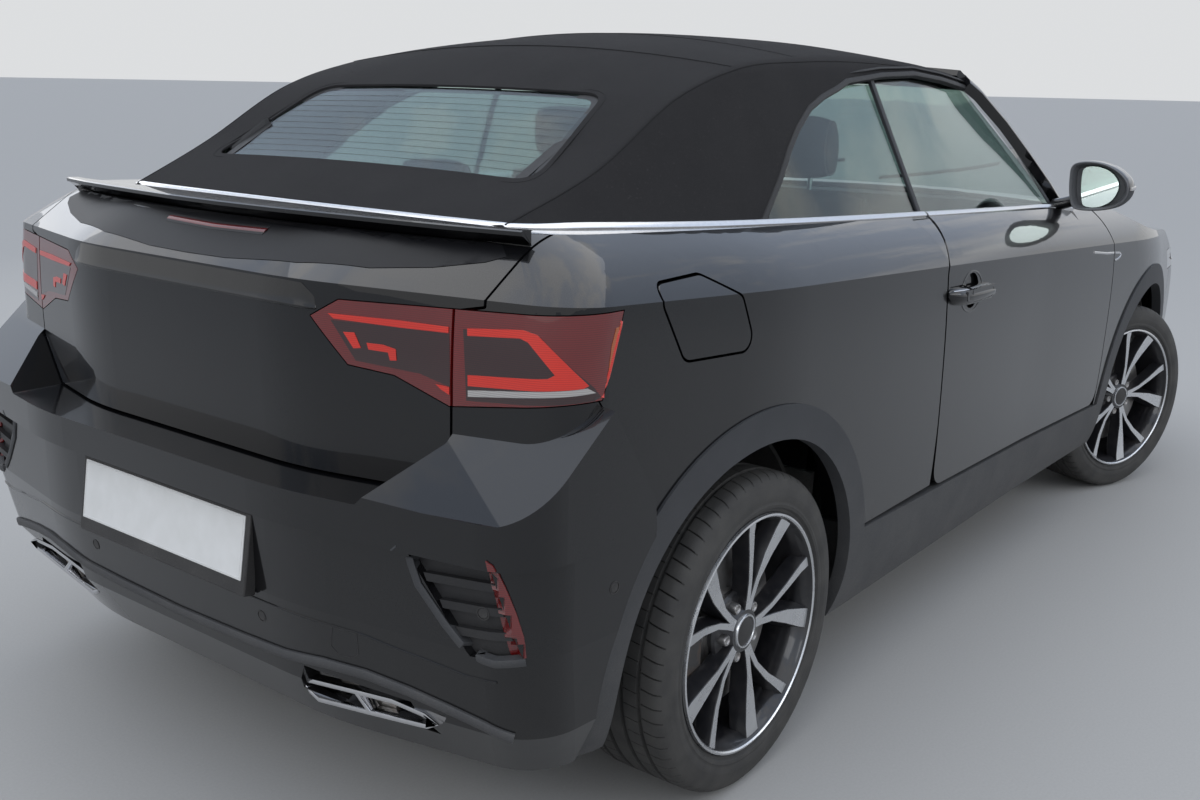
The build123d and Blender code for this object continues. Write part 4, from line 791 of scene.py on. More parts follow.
SIDE_OPENING = [
    (400, 900), (400, 1372), (250, 1384), (100, 1404), (-42, 1419), (-225, 1431), (-430, 1424), (-629, 1408),
    (-686, 1392), (-770, 1373), (-844, 1349), (-925, 1306), (-987, 1263), (-1100, 1172), (-1168, 1122),
    (-1176, 1080), (-1176, 900),
]
REAR_OPENING = [(-1606, 490), (-1310, 435), (-1310, -435), (-1606, -490)]
CORNER_RADIUS, CORNER_STEPS = 52.0, 8
# Places between which the two cutters reach: across the car, and in height
CUT_ACROSS, CUT_HEIGHTS = (-1200, 1200), (1150, 1550)


def rounded_outline(points, radius):
    """A closed outline with its corners rounded."""
    made = []
    for i, point in enumerate(points):
        here = Vector(point)
        before = (Vector(points[i - 1]) - here).normalized()
        after = (Vector(points[(i + 1) % len(points)]) - here).normalized()
        for k in range(CORNER_STEPS + 1):
            t = k / CORNER_STEPS
            made.append(here + before * radius * (1 - t) ** 2 + after * radius * t * t)
    return made


def cutter(outline, place_of):
    """A closed prism between two places of each outline point."""
    low = [place_of(a, b, 0) for a, b in outline]
    high = [place_of(a, b, 1) for a, b in outline]
    n = len(outline)
    faces = [range(n), range(2 * n - 1, n - 1, -1)]
    faces += [(i, n + i, n + (i + 1) % n, (i + 1) % n) for i in range(n)]
    return faced_outward(new_piece("cutter", low + high, faces, woven_cloth, smooth=False))


cutters = [
    cutter(SIDE_OPENING, lambda x, z, far: Vector((x, CUT_ACROSS[far], z)) * MM),
    cutter(rounded_outline(REAR_OPENING, CORNER_RADIUS),
           lambda x, y, far: Vector((x, y, CUT_HEIGHTS[far])) * MM),
]
for knife in cutters:
    cut = cloth_roof.modifiers.new("window", "BOOLEAN")
    cut.object = knife
    cut.operation = "DIFFERENCE"
    cut.solver = "EXACT"
    with bpy.context.temp_override(object=cloth_roof, active_object=cloth_roof):
        bpy.ops.object.modifier_apply(modifier=cut.name)
    bpy.data.objects.remove(knife)
cloth_roof.data.shade_smooth()
cloth_roof.data.set_sharp_from_angle(angle=math.radians(50))
placed(cloth_roof, "body")
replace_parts(cloth_roof, "soft_top")


def on_roof(x, share):
    """A place and normal on the cloth: share is the step along half a section, from belt to middle."""
    half = roof_profile(x)
    k = min(len(half) - 2, max(1, int(share)))
    point = half[k].lerp(half[k + 1], share - int(share)) if share < len(half) - 1 else half[-1]
    outward = section_normal(half, k)
    return Vector((x, -point.x, point.y)) * MM, Vector((0, -abs(outward.x), outward.y)).normalized()


def both_halves(rail):
    """A whole rail from the half of it that ends on the car's middle."""
    return rail + [(Vector((p.x, -p.y, p.z)), Vector((n.x, -n.y, n.z))) for p, n in rail[-2::-1]]


# Welts along the roof's edges, and flat seams across the two rear bows
EDGE_SHARE = FLANK_STEPS + EDGE_STEPS * 0.5
WELT_FRONT_X, WELT_BACK_X, WELT_COUNT = 60, -1758, 92
# The welt starts thin at the header and reaches its full size after this many points
WELT_THIN, WELT_EASE = 0.45, 50
SEAM_AROUND_WINDOW = [(-1620, 505), (-1298, 447), (-1298, -447), (-1620, -505)]
welt_rail = [on_roof(x, EDGE_SHARE) for x in np.linspace(WELT_FRONT_X, WELT_BACK_X, WELT_COUNT)]
welt_scale = [WELT_THIN + (1 - WELT_THIN) * min(1.0, i / WELT_EASE) for i in range(WELT_COUNT)]
edge_welt = strip("edge_welt", welt_rail, bar_section(4.6, 1.9, 1.2), woven_cloth, welt_scale)
welts = list(both_sides(edge_welt, "body"))
for number, bow_x in enumerate(BOWS[2:]):
    half_rail = [on_roof(bow_x, FLANK_STEPS + EDGE_STEPS + i) for i in range(TOP_STEPS // 2 + 1)]
    seam = strip(f"bow_seam_{number}", both_halves(half_rail), bar_section(9.0, 0.9, 0.8), woven_cloth)
    welts.append(placed(seam, "body"))
window_rail = []
for point in rounded_outline(SEAM_AROUND_WINDOW, CORNER_RADIUS + 10):
    belt, edge_y, edge_z, crown, soft = roof_row(point.x)
    rise = crown - edge_z
    radius = (edge_y**2 + rise**2) / (2 * rise)
    z = crown - radius + math.sqrt(radius**2 - point.y**2) + bow_sag(point.x)
    window_rail.append((Vector((point.x, point.y, z)) * MM, Vector((-0.45, 0, 0.9)).normalized()))
window_seam = strip("window_seam", window_rail, bar_section(3.4, 0.8, 0.8), woven_cloth, closed=True)
welts.append(placed(window_seam, "body"))


# Glass: green-tinted side panes and windscreen, and the rear window with its printed border and
# fine heater lines. Black rubber seals and a double gutter run round the side windows.
def tinted_glass(name, colour, roughness):
    """Toughened glass of one tint, with a thin uneven film on it."""
    made, tree, shader, place = start_finish(
        name, Base_Color=colour, Roughness=roughness, Transmission_Weight=1.0, IOR=1.45, Metallic=0.0)
    film = add_node(tree, "ShaderNodeTexNoise", {"Vector": place, "Scale": 3.0, "Detail": 4.0})
    rough_from(tree, shader, film.outputs["Fac"], 0.0, roughness)
    return made


side_tint = tinted_glass("side_tint", (0.50, 0.62, 0.58, 1), 0.03)
rear_tint = tinted_glass("rear_tint", (0.46, 0.60, 0.54, 1), 0.05)
dress(["door_glass_left", "door_glass_right", "quarter_glass", "windscreen"], side_tint)
dress(["rear_window"], rear_tint)
rubber_seal = clouded_finish("rubber_seal", (0.008, 0.008, 0.009, 1), (0.018, 0.018, 0.019, 1), 80.0, 4.0,
                             rough=(0.42, 0.62), Roughness=0.55, Specular_IOR_Level=0.4)
glass_skin = skin_of("rear_window")
BORDER = [(-1604, 487), (-1312, 433), (-1312, -433), (-1604, -487)]
BORDER_SECTION = [(-13, -0.2), (-13, 0.5), (13, 0.5), (13, -0.2)]
ABOVE_GLASS = 1500
border_rail = [laid(glass_skin, Vector((p.x, p.y, ABOVE_GLASS)) * MM, DOWN)
               for p in rounded_outline(BORDER, 50)]
border = strip("rear_glass_border", border_rail, BORDER_SECTION, rubber_seal, closed=True)
placed(border, "body")
HEATER_LINES = 11
HEATER_BACK_X, HEATER_SPREAD, HEATER_HALF, HEATER_NARROWING = -1590, 264, 470, 44
for line in range(HEATER_LINES):
    share = (line + 1) / (HEATER_LINES + 1)
    reach = HEATER_HALF - HEATER_NARROWING * share
    x = HEATER_BACK_X + HEATER_SPREAD * share
    heater_rail = [laid(glass_skin, from_above(x, y), DOWN) for y in np.linspace(-reach, reach, 15)]
    heater = strip(f"heater_{line}", heater_rail, bar_section(1.1, 0.3, 0.1), rubber_seal)
    placed(heater, "body")


def on_flank(x, z, lift=0.0):
    """A place and normal on the roof's side at a lengthwise place and height."""
    belt, edge_y, edge_z, crown, soft = roof_row(x)
    foot_z = belt_height(x) - FOOT_DROP
    y = belt + (edge_y - belt) * (z - foot_z) / (edge_z - foot_z)
    normal = Vector((0, -(edge_z - foot_z), belt - edge_y)).normalized()
    return Vector((x, -y, z)) * MM + normal * lift * MM, normal


WINDOW_TOP = [(150, 1398), (-42, 1420), (-225, 1432), (-430, 1426), (-629, 1409), (-686, 1393), (-770, 1374),
              (-844, 1350), (-925, 1307), (-987, 1264), (-1060, 1204), (-1168, 1124)]
seal_rail = [on_flank(p.x, p.y - 1, -4) for p in evenly(WINDOW_TOP, 14)]
both_sides(strip("window_seal", seal_rail, bar_section(15, 8, 6), rubber_seal), "body")
GUTTER = [(160, 1412), (-42, 1434), (-225, 1446), (-430, 1441), (-600, 1428)]
gutter_rail = [on_flank(p.x, p.y) for p in evenly(GUTTER, 14)]
gutter_scale = tapered(len(gutter_rail), 0.2, 6)
both_sides(strip("gutter", gutter_rail, bar_section(6, 4.5, 2), rubber_seal, gutter_scale), "body")
DIVIDER = [(-447, 1094), (-478, 1414)]
DIVIDER_SECTION = [(-9, -5), (-9, 3.4), (-7, 4.6), (7, 4.6), (9, 3.4), (9, -5)]
divider_rail = [on_flank(p.x, p.y, -10) for p in evenly(DIVIDER, 20)]
both_sides(strip("window_divider", divider_rail, DIVIDER_SECTION, cladding_plastic), "body")

# Belt trim: a rolled, bright anodised bar clipped along the foot of the windows and the roof. One
# length rides on each door, and another runs from quarter to quarter round the rear of the cloth.
trim_bright = clouded_finish("trim_bright", (0.68, 0.68, 0.69, 1), (0.80, 0.80, 0.80, 1), 120.0, 4.0,
                             rough=(0.16, 0.3), Metallic=1.0, Roughness=0.24)
SIDE_TRIM_DOOR = [(560, 1046), (380, 1055), (0, 1072), (-442, 1092)]
SIDE_TRIM_BODY = [(-452, 1093), (-800, 1108), (-1168, 1124), (-1400, 1134), (-1560, 1141), (-1690, 1147)]
TRIM_SECTION = [(-9, -14), (-9.5, 1), (-7.5, 4.5), (0, 6), (6, 4.8), (8.5, 1), (8.5, -14)]


def trim_rail(path):
    """The belt trim's rail along a side: just outside the cloth's foot, facing out and up."""
    return [(on_flank(p.x, p.y, 5.0)[0], Vector((0, -0.62, 0.78))) for p in evenly(path, 25)]


door_trim = strip("belt_trim_door", trim_rail(SIDE_TRIM_DOOR), TRIM_SECTION, trim_bright)
both_sides(door_trim, "door_right")
REAR_TRIM = [(-1712, -634), (-1734, -616), (-1750, -585), (-1760, -530), (-1768, -440), (-1776, -250),
             (-1780, 0)]
TURN_START_Y, TURN_WIDTH = 640, 90
rear_half = []
for p in evenly(REAR_TRIM, 24):
    turn = min(1.0, max(0.0, (p.y + TURN_START_Y) / TURN_WIDTH))
    tilt = Vector((-0.45 * turn, -0.62 * (1 - turn), 0.84)).normalized()
    rear_half.append((Vector((p.x, p.y, belt_height(p.x) + 1)) * MM, tilt))
half_rail = trim_rail(SIDE_TRIM_BODY) + rear_half
# Eases the rail round the corner, a few points to each side of it
CORNER_ROUNDS, CORNER_REACH = 10, 5
corner = len(half_rail) - len(rear_half)
for _ in range(CORNER_ROUNDS):
    eased = list(half_rail)
    for i in range(corner - CORNER_REACH, corner + CORNER_REACH):
        eased[i] = (sum((half_rail[k][0] for k in (i - 1, i, i + 1)), Vector()) / 3,
                    sum((half_rail[k][1] for k in (i - 1, i, i + 1)), Vector()).normalized())
    half_rail = eased
placed(strip("belt_trim_body", both_halves(half_rail), TRIM_SECTION, trim_bright), "body")


# Door handles: a painted pull, moulded in one piece with a plated line along its top, stands over a
# round dish pressed into the door. It is pulled out and up.
HANDLE_ROWS = [
    # lengthwise, height of the middle, half height, how far it stands out
    (-560, 922, 6, 3), (-550, 918, 15, 13), (-522, 913, 21, 25), (-470, 909, 23, 30), (-400, 907, 23, 31),
    (-340, 907, 22, 30), (-308, 907, 17, 25), (-292, 907, 10, 14), (-284, 907, 4, 4),
]
HANDLE_SKIN_Y = -895
# How far the pull's inner side sinks into the door, and where its bright line lies: shares of its reach
PULL_SINK, LINE_OUT, LINE_UP = 0.2, 0.62, 0.8
RING_STEPS = 14


def soft_outline(points, rounds=2):
    """A closed outline with its corners cut round."""
    for _ in range(rounds):
        cut = []
        for i, point in enumerate(points):
            here, after = Vector(point), Vector(points[(i + 1) % len(points)])
            cut += [here.lerp(after, 0.25), here.lerp(after, 0.75)]
        points = cut
    return points


pull_rings = []
for x, middle, half, out in HANDLE_ROWS:
    ring = []
    for k in range(RING_STEPS):
        turn = 2 * math.pi * k / RING_STEPS
        y = HANDLE_SKIN_Y - out * max(-PULL_SINK, math.sin(turn))
        ring.append(Vector((x, y, middle + half * math.cos(turn))) * MM)
    pull_rings.append(ring)
both_sides(closed_loft("door_pull", pull_rings, black_paint), "door_right")
pull_line = [(Vector((x, HANDLE_SKIN_Y - out * LINE_OUT, middle + half * LINE_UP)) * MM,
              Vector((0, -0.6, 0.8))) for x, middle, half, out in HANDLE_ROWS[1:-1]]
both_sides(strip("pull_line", pull_line, bar_section(3.0, 1.0, 0.6), chrome), "door_right")
LEFTWARD = Vector((0, 1, 0))
door_skin = skin_of("door_right")
DISH_X, DISH_Z, DISH_LONG, DISH_HIGH, DISH_STEPS = -408, 912, 67.5, 50, 40
dish_rail = []
for k in range(DISH_STEPS):
    turn = 2 * math.pi * k / DISH_STEPS
    spot = from_right(DISH_X + DISH_LONG * math.cos(turn), DISH_Z + DISH_HIGH * math.sin(turn))
    dish_rail.append(laid(door_skin, spot, LEFTWARD))
dish_rim = strip("dish_rim", dish_rail, bar_section(5.0, 1.1, 0.8), black_paint, closed=True)
both_sides(dish_rim, "door_right")

# Quarter corner: the quarter panel's painted steel runs on as a small triangle between the belt and
# the door's slanted upper edge. It follows the body's shoulder and leaves the door its shut gap.
CORNER_BACK_X, CORNER_TOP_Z = -553, 1092
DOOR_EDGE_X, SHUT_GAP, CORNER_T = -449, 5, 4
quarter_skin = skin_of("quarter_right")
SHOULDER_WAY = Vector((0, 1, -1)).normalized()
SHOULDER_UP = Vector((0, 1, 1)).normalized()
SHOULDER_LOW, SHOULDER_HIGH = 75, 230
SHOULDER_AWAY = 1.33


def shoulder_at(skin, x, up):
    """The body's shoulder at a lengthwise place and a distance up along its slope."""
    start = Vector((x, 0, 0)) * MM + SHOULDER_UP * up * MM - SHOULDER_WAY * SHOULDER_AWAY
    return laid(skin, start, SHOULDER_WAY)[0]


corner_rows = []
for up in np.linspace(SHOULDER_LOW, SHOULDER_HIGH, 16):
    rear = shoulder_at(quarter_skin, CORNER_BACK_X - 5, up)
    edge_x = DOOR_EDGE_X - (CORNER_TOP_Z - rear.z / MM)
    front = shoulder_at(door_skin, edge_x + 9, up)
    end_x = max(CORNER_BACK_X + 1, edge_x - SHUT_GAP)
    corner_rows.append([Vector((end_x * t * MM + CORNER_BACK_X * (1 - t) * MM, rear.y * (1 - t) + front.y * t,
                                rear.z * (1 - t) + front.z * t)) for t in np.linspace(0, 1, 7)])
inner_corner = [[v + Vector((0, CORNER_T, -CORNER_T)) * MM for v in row] for row in corner_rows]
corner_rings = [outer + inner[::-1] for outer, inner in zip(corner_rows, inner_corner)]
both_sides(closed_loft("quarter_corner", corner_rings, black_paint), "body")

# Mirrors: a moulded shell, gloss black above and grained below, with a satin rim round a tinted
# glass. It stands on a painted foot on the door's belt and carries a clear indicator strip.
MIRROR_OUTLINE = [
    (-823, 1146), (-824, 1180), (-846, 1193), (-887, 1196), (-924, 1191), (-966, 1173), (-999, 1140),
    (-1000, 1098), (-972, 1065), (-915, 1050), (-852, 1048), (-835, 1062), (-826, 1104),
]
MIRROR_GLASS = [
    (-857, 1169), (-868, 1180), (-899, 1183), (-936, 1173), (-961, 1152), (-971, 1127), (-963, 1098),
    (-947, 1076), (-913, 1059), (-875, 1059), (-865, 1070), (-857, 1122),
]
MIRROR_MIDDLE = Vector((-912, 1120))
# Shell rings: lengthwise, size of the outline; the first two are the well behind the rim
MIRROR_RINGS = [
    (474, 0.80), (462, 0.84), (450, 0.90), (448, 0.955), (453, 0.985), (466, 1.0), (495, 1.0), (522, 0.955),
    (545, 0.86), (560, 0.70), (568, 0.46), (571, 0.2),
]
RIM_RINGS, SPLIT_Z = 4, 1128
GLASS_RINGS = [(476, 0.99), (461, 0.99), (459.5, 0.97)]
satin_rim = grained_plastic(
    "satin_rim", (0.075, 0.077, 0.082, 1), (0.105, 0.107, 0.112, 1), 0.42, 1500.0, 0.00004, 0.1)
mirror_silver = clouded_finish("mirror_silver", (0.62, 0.72, 0.68, 1), (0.70, 0.78, 0.75, 1), 12.0, 5.0,
                               rough=(0.0, 0.05), Metallic=1.0, Roughness=0.02)


def mirror_loft(outline, rings):
    """Rings of an outline (sideways, height) at each place lengthwise, drawn in about the middle."""
    return [[Vector((x, *(MIRROR_MIDDLE + (p - MIRROR_MIDDLE) * size))) * MM for p in soft_outline(outline)]
            for x, size in rings]


def mirror_finish(ring, step):
    """Satin on the rim, gloss black above the split and grained plastic below it."""
    if ring < RIM_RINGS:
        return 0
    return 1 if mirror_rings[ring][step].z / MM > SPLIT_Z else 2


mirror_rings = mirror_loft(MIRROR_OUTLINE, MIRROR_RINGS)
shell = closed_loft("mirror_shell", mirror_rings, [satin_rim, black_paint, cladding_plastic], mirror_finish)
shells = both_sides(shell, "door_right")
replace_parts(shells[0], "mirror_right")
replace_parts(shells[1], "mirror_left")
glass = closed_loft("mirror_glass", mirror_loft(MIRROR_GLASS, GLASS_RINGS), mirror_silver)
both_sides(glass, "door_right")
FOOT_RINGS = [
    # sideways, then lengthwise and height of the section's two corners
    (-770, 468, 536, 1036, 1074), (-800, 470, 534, 1044, 1082), (-832, 474, 528, 1056, 1092),
    (-872, 480, 520, 1068, 1100),
]
foot_rings = []
for y, x0, x1, z0, z1 in FOOT_RINGS:
    corners = soft_outline([(x0, z0), (x1, z0), (x1, z1), (x0, z1)], 2)
    foot_rings.append([Vector((p.x, y, p.y)) * MM for p in corners])
both_sides(closed_loft("mirror_foot", foot_rings, black_paint), "door_right")
INDICATOR = [(462, 1.004), (490, 1.006), (515, 0.98), (535, 0.92)]
INDICATOR_Y, INDICATOR_Z = -1001, 1121
indicator_rail = [(Vector((x, MIRROR_MIDDLE.x + (INDICATOR_Y - MIRROR_MIDDLE.x) * size, INDICATOR_Z)) * MM,
                   Vector((0.1, -1, 0))) for x, size in INDICATOR]
indicator = strip("mirror_indicator", indicator_rail, bar_section(10, 2.2, 4), lens_clear)
both_sides(indicator, "door_right")

# Chevron: a thin plated strip stuck to the door and the wing. Its two parts meet at the shut line,
# and the wing's part turns back in a small hook.
CHEVRON_DOOR = [(572, 915), (640, 907), (700, 900), (769, 895)]
CHEVRON_WING = [(781, 894), (838, 889), (847, 883), (838, 876), (810, 871), (783, 870)]
CHEVRONS = [("chevron_door", CHEVRON_DOOR, door_skin, 7, "door_right"),
            ("chevron_wing", CHEVRON_WING, skin_of("wing_right"), 6, "body")]
for name, path, skin, width, body in CHEVRONS:
    bar = strip(name, rail_on(skin, from_right, LEFTWARD, path), bar_section(width, 2.6, 1), chrome)
    both_sides(bar, body)

# Windscreen frame: painted pillars, a curved painted header that the cloth closes on, and a black
# moulding along the foot of the glass. The rear deck behind the cloth is black too.
PILLAR = [(690, 742, 1020), (560, 712, 1128), (440, 680, 1222), (320, 646, 1314), (200, 610, 1396),
          (150, 592, 1424)]
PILLAR_SECTION = [(-34, -26), (-36, 2), (-28, 7), (0, 10), (26, 7), (34, 1), (32, -26)]
HEADER_SECTION = [(-48, -14), (-50, 2), (-42, 6), (0, 8), (40, 6), (46, 1), (44, -14)]
FOOT_SECTION = [(-26, -14), (-28, 2), (-20, 6), (20, 6), (28, 1), (26, -14)]
RAIL_COUNT = 41
pillar_rail = [(Vector((x, -y, z)) * MM, Vector((0.42, -0.62, 0.66)).normalized()) for x, y, z in PILLAR]
both_sides(strip("windscreen_pillar", pillar_rail, PILLAR_SECTION, black_paint), "body")


def bowed_rail(half_width, x, z, back, drop):
    """A rail across the car that bows back and down from its middle to its ends."""
    rail = []
    for y in np.linspace(-half_width, half_width, RAIL_COUNT):
        share = (y / half_width) ** 2
        rail.append((Vector((x - back * share, y, z - drop * share)) * MM, Vector((0.5, 0, 0.87))))
    return rail


header = strip("windscreen_header", bowed_rail(600, 212, 1441, 62, 22), HEADER_SECTION, black_paint)
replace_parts(placed(header, "body"), "windscreen_frame")
foot = strip("windscreen_base", bowed_rail(690, 900, 1036, 255, 0), FOOT_SECTION, black_plastic)
placed(foot, "body")
dress(["rear_deck"], black_plastic)

# Headlamps: clear moulded covers over a dark well, with two white projector lenses and a daytime
# strip that bends round the lamp's outer corner. They are clipped between wing and bumper.
BACKWARD = -FORWARD
from_front = seen_from(BACKWARD, LEFTWARD, -2.3)
dress(["headlamps"], lens_clear)
front_lamp_skin = skin_of("headlamps")
LAMP_WELL = [(-444, 727), (-456, 772), (-640, 789), (-800, 806), (-822, 800), (-826, 770), (-800, 752),
             (-640, 722)]
DAY_STRIP = [(-450, 733), (-640, 728), (-800, 757), (-822, 776)]
PROJECTORS = [(-545, 757, 21), (-655, 760, 19)]
# How far each ring of a projector stands out, and its share of the radius
PROJECTOR_RINGS = [(-2, 1.0), (4, 1.0), (6, 0.92), (7, 0.78), (5, 0.7), (9, 0.5), (11, 0.2)]
PROJECTOR_STEPS = 24
well = plate("headlamp_well", LAMP_WELL, from_front, front_lamp_skin, BACKWARD, satin_black, 0.15, 0.6)
both_sides(well, "body")
turns = np.arange(PROJECTOR_STEPS) * 2 * math.pi / PROJECTOR_STEPS
around = [Vector((0, math.cos(a), math.sin(a))) for a in turns]
for number, (y, z, radius) in enumerate(PROJECTORS):
    place, normal = laid(front_lamp_skin, from_front(y, z), BACKWARD)
    lens_rings = [[place + (FORWARD * out + way * radius * share) * MM for way in around]
                  for out, share in PROJECTOR_RINGS]
    both_sides(closed_loft(f"projector_{number}", lens_rings, lens_white), "body")
day_rail = rail_on(front_lamp_skin, from_front, BACKWARD, DAY_STRIP)
both_sides(strip("day_strip", day_rail, bar_section(7, 3, 1), lens_white), "body")

# Grilles: black moulded openings above and below the bumper bar, crossed by satin slats that are
# clipped in from behind. A plated line joins the headlamps above them.
dress(["grilles"], black_plastic)
grille_skin = skin_of("grilles")
SLATS = [(z, 405) for z in (660, 682, 704, 726, 748)] + [(z, 560) for z in (325, 355, 385, 415, 445)]
GRILLE_BARS = [(f"grille_slat_{number}", z, reach, bar_section(9, 6, 2), satin_black, "cladding")
               for number, (z, reach) in enumerate(SLATS)]
GRILLE_BARS.append(("grille_bright_line", 763, 412, bar_section(5, 3.5, 1.5), chrome, "steel"))
for name, z, reach, section, finish, slot in GRILLE_BARS:
    slat_rail = [laid(grille_skin, from_front(y, z), BACKWARD) for y in np.linspace(-reach, reach, 31)]
    placed(strip(name, slat_rail, section, finish), "body")

# Wipers: two rubber blades in satin black holders, parked low on the windscreen one beside the
# other. Their arms lie under the bonnet's rear edge and aren't made.
screen_skin = skin_of("windscreen")
SCREEN_WAY = Vector((-0.6, 0, -0.8))
SCREEN_FOOT_X, SCREEN_FOOT_Z, SCREEN_BOW, SCREEN_HALF, SCREEN_RAKE = 880, 1062, 260, 672, 0.9
# Each blade's ends, as (sideways, height above the foot)
WIPERS = [("wiper_left", (640, 40), (60, 130)), ("wiper_right", (-30, 40), (-560, 130))]
for name, low, high in WIPERS:
    blade_rail = []
    for share in np.linspace(0, 1, 16):
        y, rise = low[0] + (high[0] - low[0]) * share, low[1] + (high[1] - low[1]) * share
        x = SCREEN_FOOT_X - SCREEN_BOW * (y / SCREEN_HALF) ** 2 - SCREEN_RAKE * rise
        blade_rail.append(laid(screen_skin, Vector((x, y, SCREEN_FOOT_Z + rise)) * MM, SCREEN_WAY))
    placed(strip(f"{name}_blade", blade_rail, bar_section(7, 11, 0.0), satin_black), "body")


# Tyres: 225/40 R19, moulded black rubber with ribs, grooves and sipes in the tread and faint rings on
# the sidewall, a little dusty from the road. Each is fitted tight on its rim.
rubber, tree, shader, place = start_finish("tyre_rubber", Roughness=0.7, Specular_IOR_Level=0.35)
rubber_cloud = add_node(tree, "ShaderNodeTexNoise", {"Vector": place, "Scale": 22.0, "Detail": 6.0})
rubber_grain = add_node(tree, "ShaderNodeTexNoise", {"Vector": place, "Scale": 900.0, "Detail": 2.0})
rubber_tone = blend_colour(
    tree, rubber_cloud.outputs["Fac"], (0.022, 0.022, 0.023, 1), (0.045, 0.044, 0.042, 1))
rubber_dust = add_node(tree, "ShaderNodeMath", {
    0: rubber_cloud.outputs["Fac"], 1: rubber_grain.outputs["Fac"]}, operation="MULTIPLY")
rubber_colour = blend_colour(tree, rubber_dust.outputs[0], rubber_tone, (0.095, 0.09, 0.082, 1))
tree.links.new(rubber_colour, shader.inputs["Base Color"])
bump_from(tree, shader, rubber_grain.outputs["Fac"], 0.00015)
# Half of the section, as (radius, along the axle): bead, rim guard, sidewall and shoulder
SIDEWALL = [(243, 96), (250, 101.5), (256.5, 103.9), (260, 109.5), (266, 110.8), (270, 109.2), (273, 109.6),
            (285, 112.2), (287, 111.6), (298, 111.2), (301, 110.1), (309, 108.3), (317, 104.6), (323, 99.6),
            (327.2, 93)]
# Tread ribs and grooves, from the shoulder to the middle, as (radius, along the axle)
TREAD = [(329.0, 86), (330.2, 76), (330.6, 66), (323.6, 64.5), (323.6, 57.5), (330.8, 56), (331, 46),
         (331, 36), (331, 27), (323.6, 25.5), (323.6, 17), (331, 15.5), (331, 8)]
TYRE_INSIDE = [(319, 0), (318, 70), (304, 96), (285, 100), (262, 97), (243, 88)]
PITCHES = 66
SIPE_DEPTH, RIB_SIPE_DEPTH, SIPE_FADE = 6.5, 3.9, 8
SIPE_TURNS = (0.0, 0.10, 0.12, 0.5, 0.55, 0.57)
SHOULDER_SIPE, RIB_SIPE = 1, 4
# Sideways: where the shoulder starts and ends, how far it leans, and the band of the middle ribs
SHOULDER_Y, SHOULDER_END_Y, SHOULDER_SKEW = 60, 110, 0.35
RIB_START_Y, RIB_END_Y = 26, 57
# Radii: where the lean starts, the shoulder's sipes from their floor up, and the ribs' faces
SKEW_R, SIPE_FLOOR_R, SIPE_R, RIB_R = 300, 318, 322, 330
half_section = SIDEWALL + TREAD
section = half_section + [(r, -y) for r, y in reversed(half_section)]
tyre_ring = section + [(r, -y) for r, y in reversed(TYRE_INSIDE[1:])] + TYRE_INSIDE


def tread_point(pitch, column, r, y):
    """A point of the tyre, leaned with its pitch and sunk where a sipe runs."""
    skew, depth = 0.0, 0.0
    on_shoulder = abs(y) > SHOULDER_Y
    if r > SKEW_R and abs(y) <= SHOULDER_END_Y:
        lean = (abs(y) - SHOULDER_Y) / (SHOULDER_END_Y - SHOULDER_Y)
        skew = SHOULDER_SKEW * lean * (1 if on_shoulder else 0.5)
    if r > SIPE_R and on_shoulder and column == SHOULDER_SIPE:
        depth = SIPE_DEPTH * min(1.0, (r - SIPE_FLOOR_R) / SIPE_FADE)
    if r > RIB_R and RIB_START_Y < abs(y) < RIB_END_Y and column == RIB_SIPE:
        depth = RIB_SIPE_DEPTH
    angle = (pitch + SIPE_TURNS[column] + skew) * 2 * math.pi / PITCHES
    return (r - depth) * MM * math.cos(angle), y * MM, (r - depth) * MM * math.sin(angle)


columns = len(SIPE_TURNS)
tyre_verts = [tread_point(pitch, column, r, y)
              for pitch in range(PITCHES) for column in range(columns) for r, y in tyre_ring]
tyre_faces = ring_faces(PITCHES * columns, len(tyre_ring))
tyre_mesh = new_piece("tyre_pattern", tyre_verts, tyre_faces, rubber, sharp=32)

# Rims: cast alloy, with five pairs of one thin and one wide spoke. Their faces and the lip are turned
# bright on a lathe, which leaves fine rings, and the flanks and barrel stay black. Five bolts and a
# bare cap hold each to its hub, and a brake disc turns with it. The outer side is -Y.
turned_alloy, tree, shader, place = start_finish("turned_alloy", Metallic=1.0, Roughness=0.28)
alloy_rings = add_node(tree, "ShaderNodeTexWave", {"Vector": place, "Scale": 260.0, "Distortion": 0.4},
                       wave_type="RINGS", rings_direction="Y")
alloy_haze = add_node(tree, "ShaderNodeTexNoise", {"Vector": place, "Scale": 35.0, "Detail": 4.0})
tree.links.new(blend_colour(tree, alloy_haze.outputs["Fac"], (0.62, 0.63, 0.65, 1), (0.78, 0.79, 0.80, 1)),
               shader.inputs["Base Color"])
rough_from(tree, shader, alloy_haze.outputs["Fac"], 0.2, 0.36)
bump_from(tree, shader, alloy_rings.outputs["Fac"], 0.00001)

# Black paint under a thin clear coat, with brake dust on it
rim_black, tree, shader, place = start_finish(
    "rim_black", Roughness=0.3, Coat_Weight=0.6, Coat_Roughness=0.05)
brake_dust = add_node(tree, "ShaderNodeTexNoise", {"Vector": place, "Scale": 60.0, "Detail": 6.0})
brake_mask = add_node(tree, "ShaderNodeMapRange", {
    "Value": brake_dust.outputs["Fac"], "From Min": 0.45, "To Max": 0.35}).outputs["Result"]
tree.links.new(blend_colour(tree, brake_mask, (0.010, 0.010, 0.012, 1), (0.06, 0.05, 0.045, 1)),
               shader.inputs["Base Color"])
rough_from(tree, shader, brake_dust.outputs["Fac"], 0.2, 0.5)

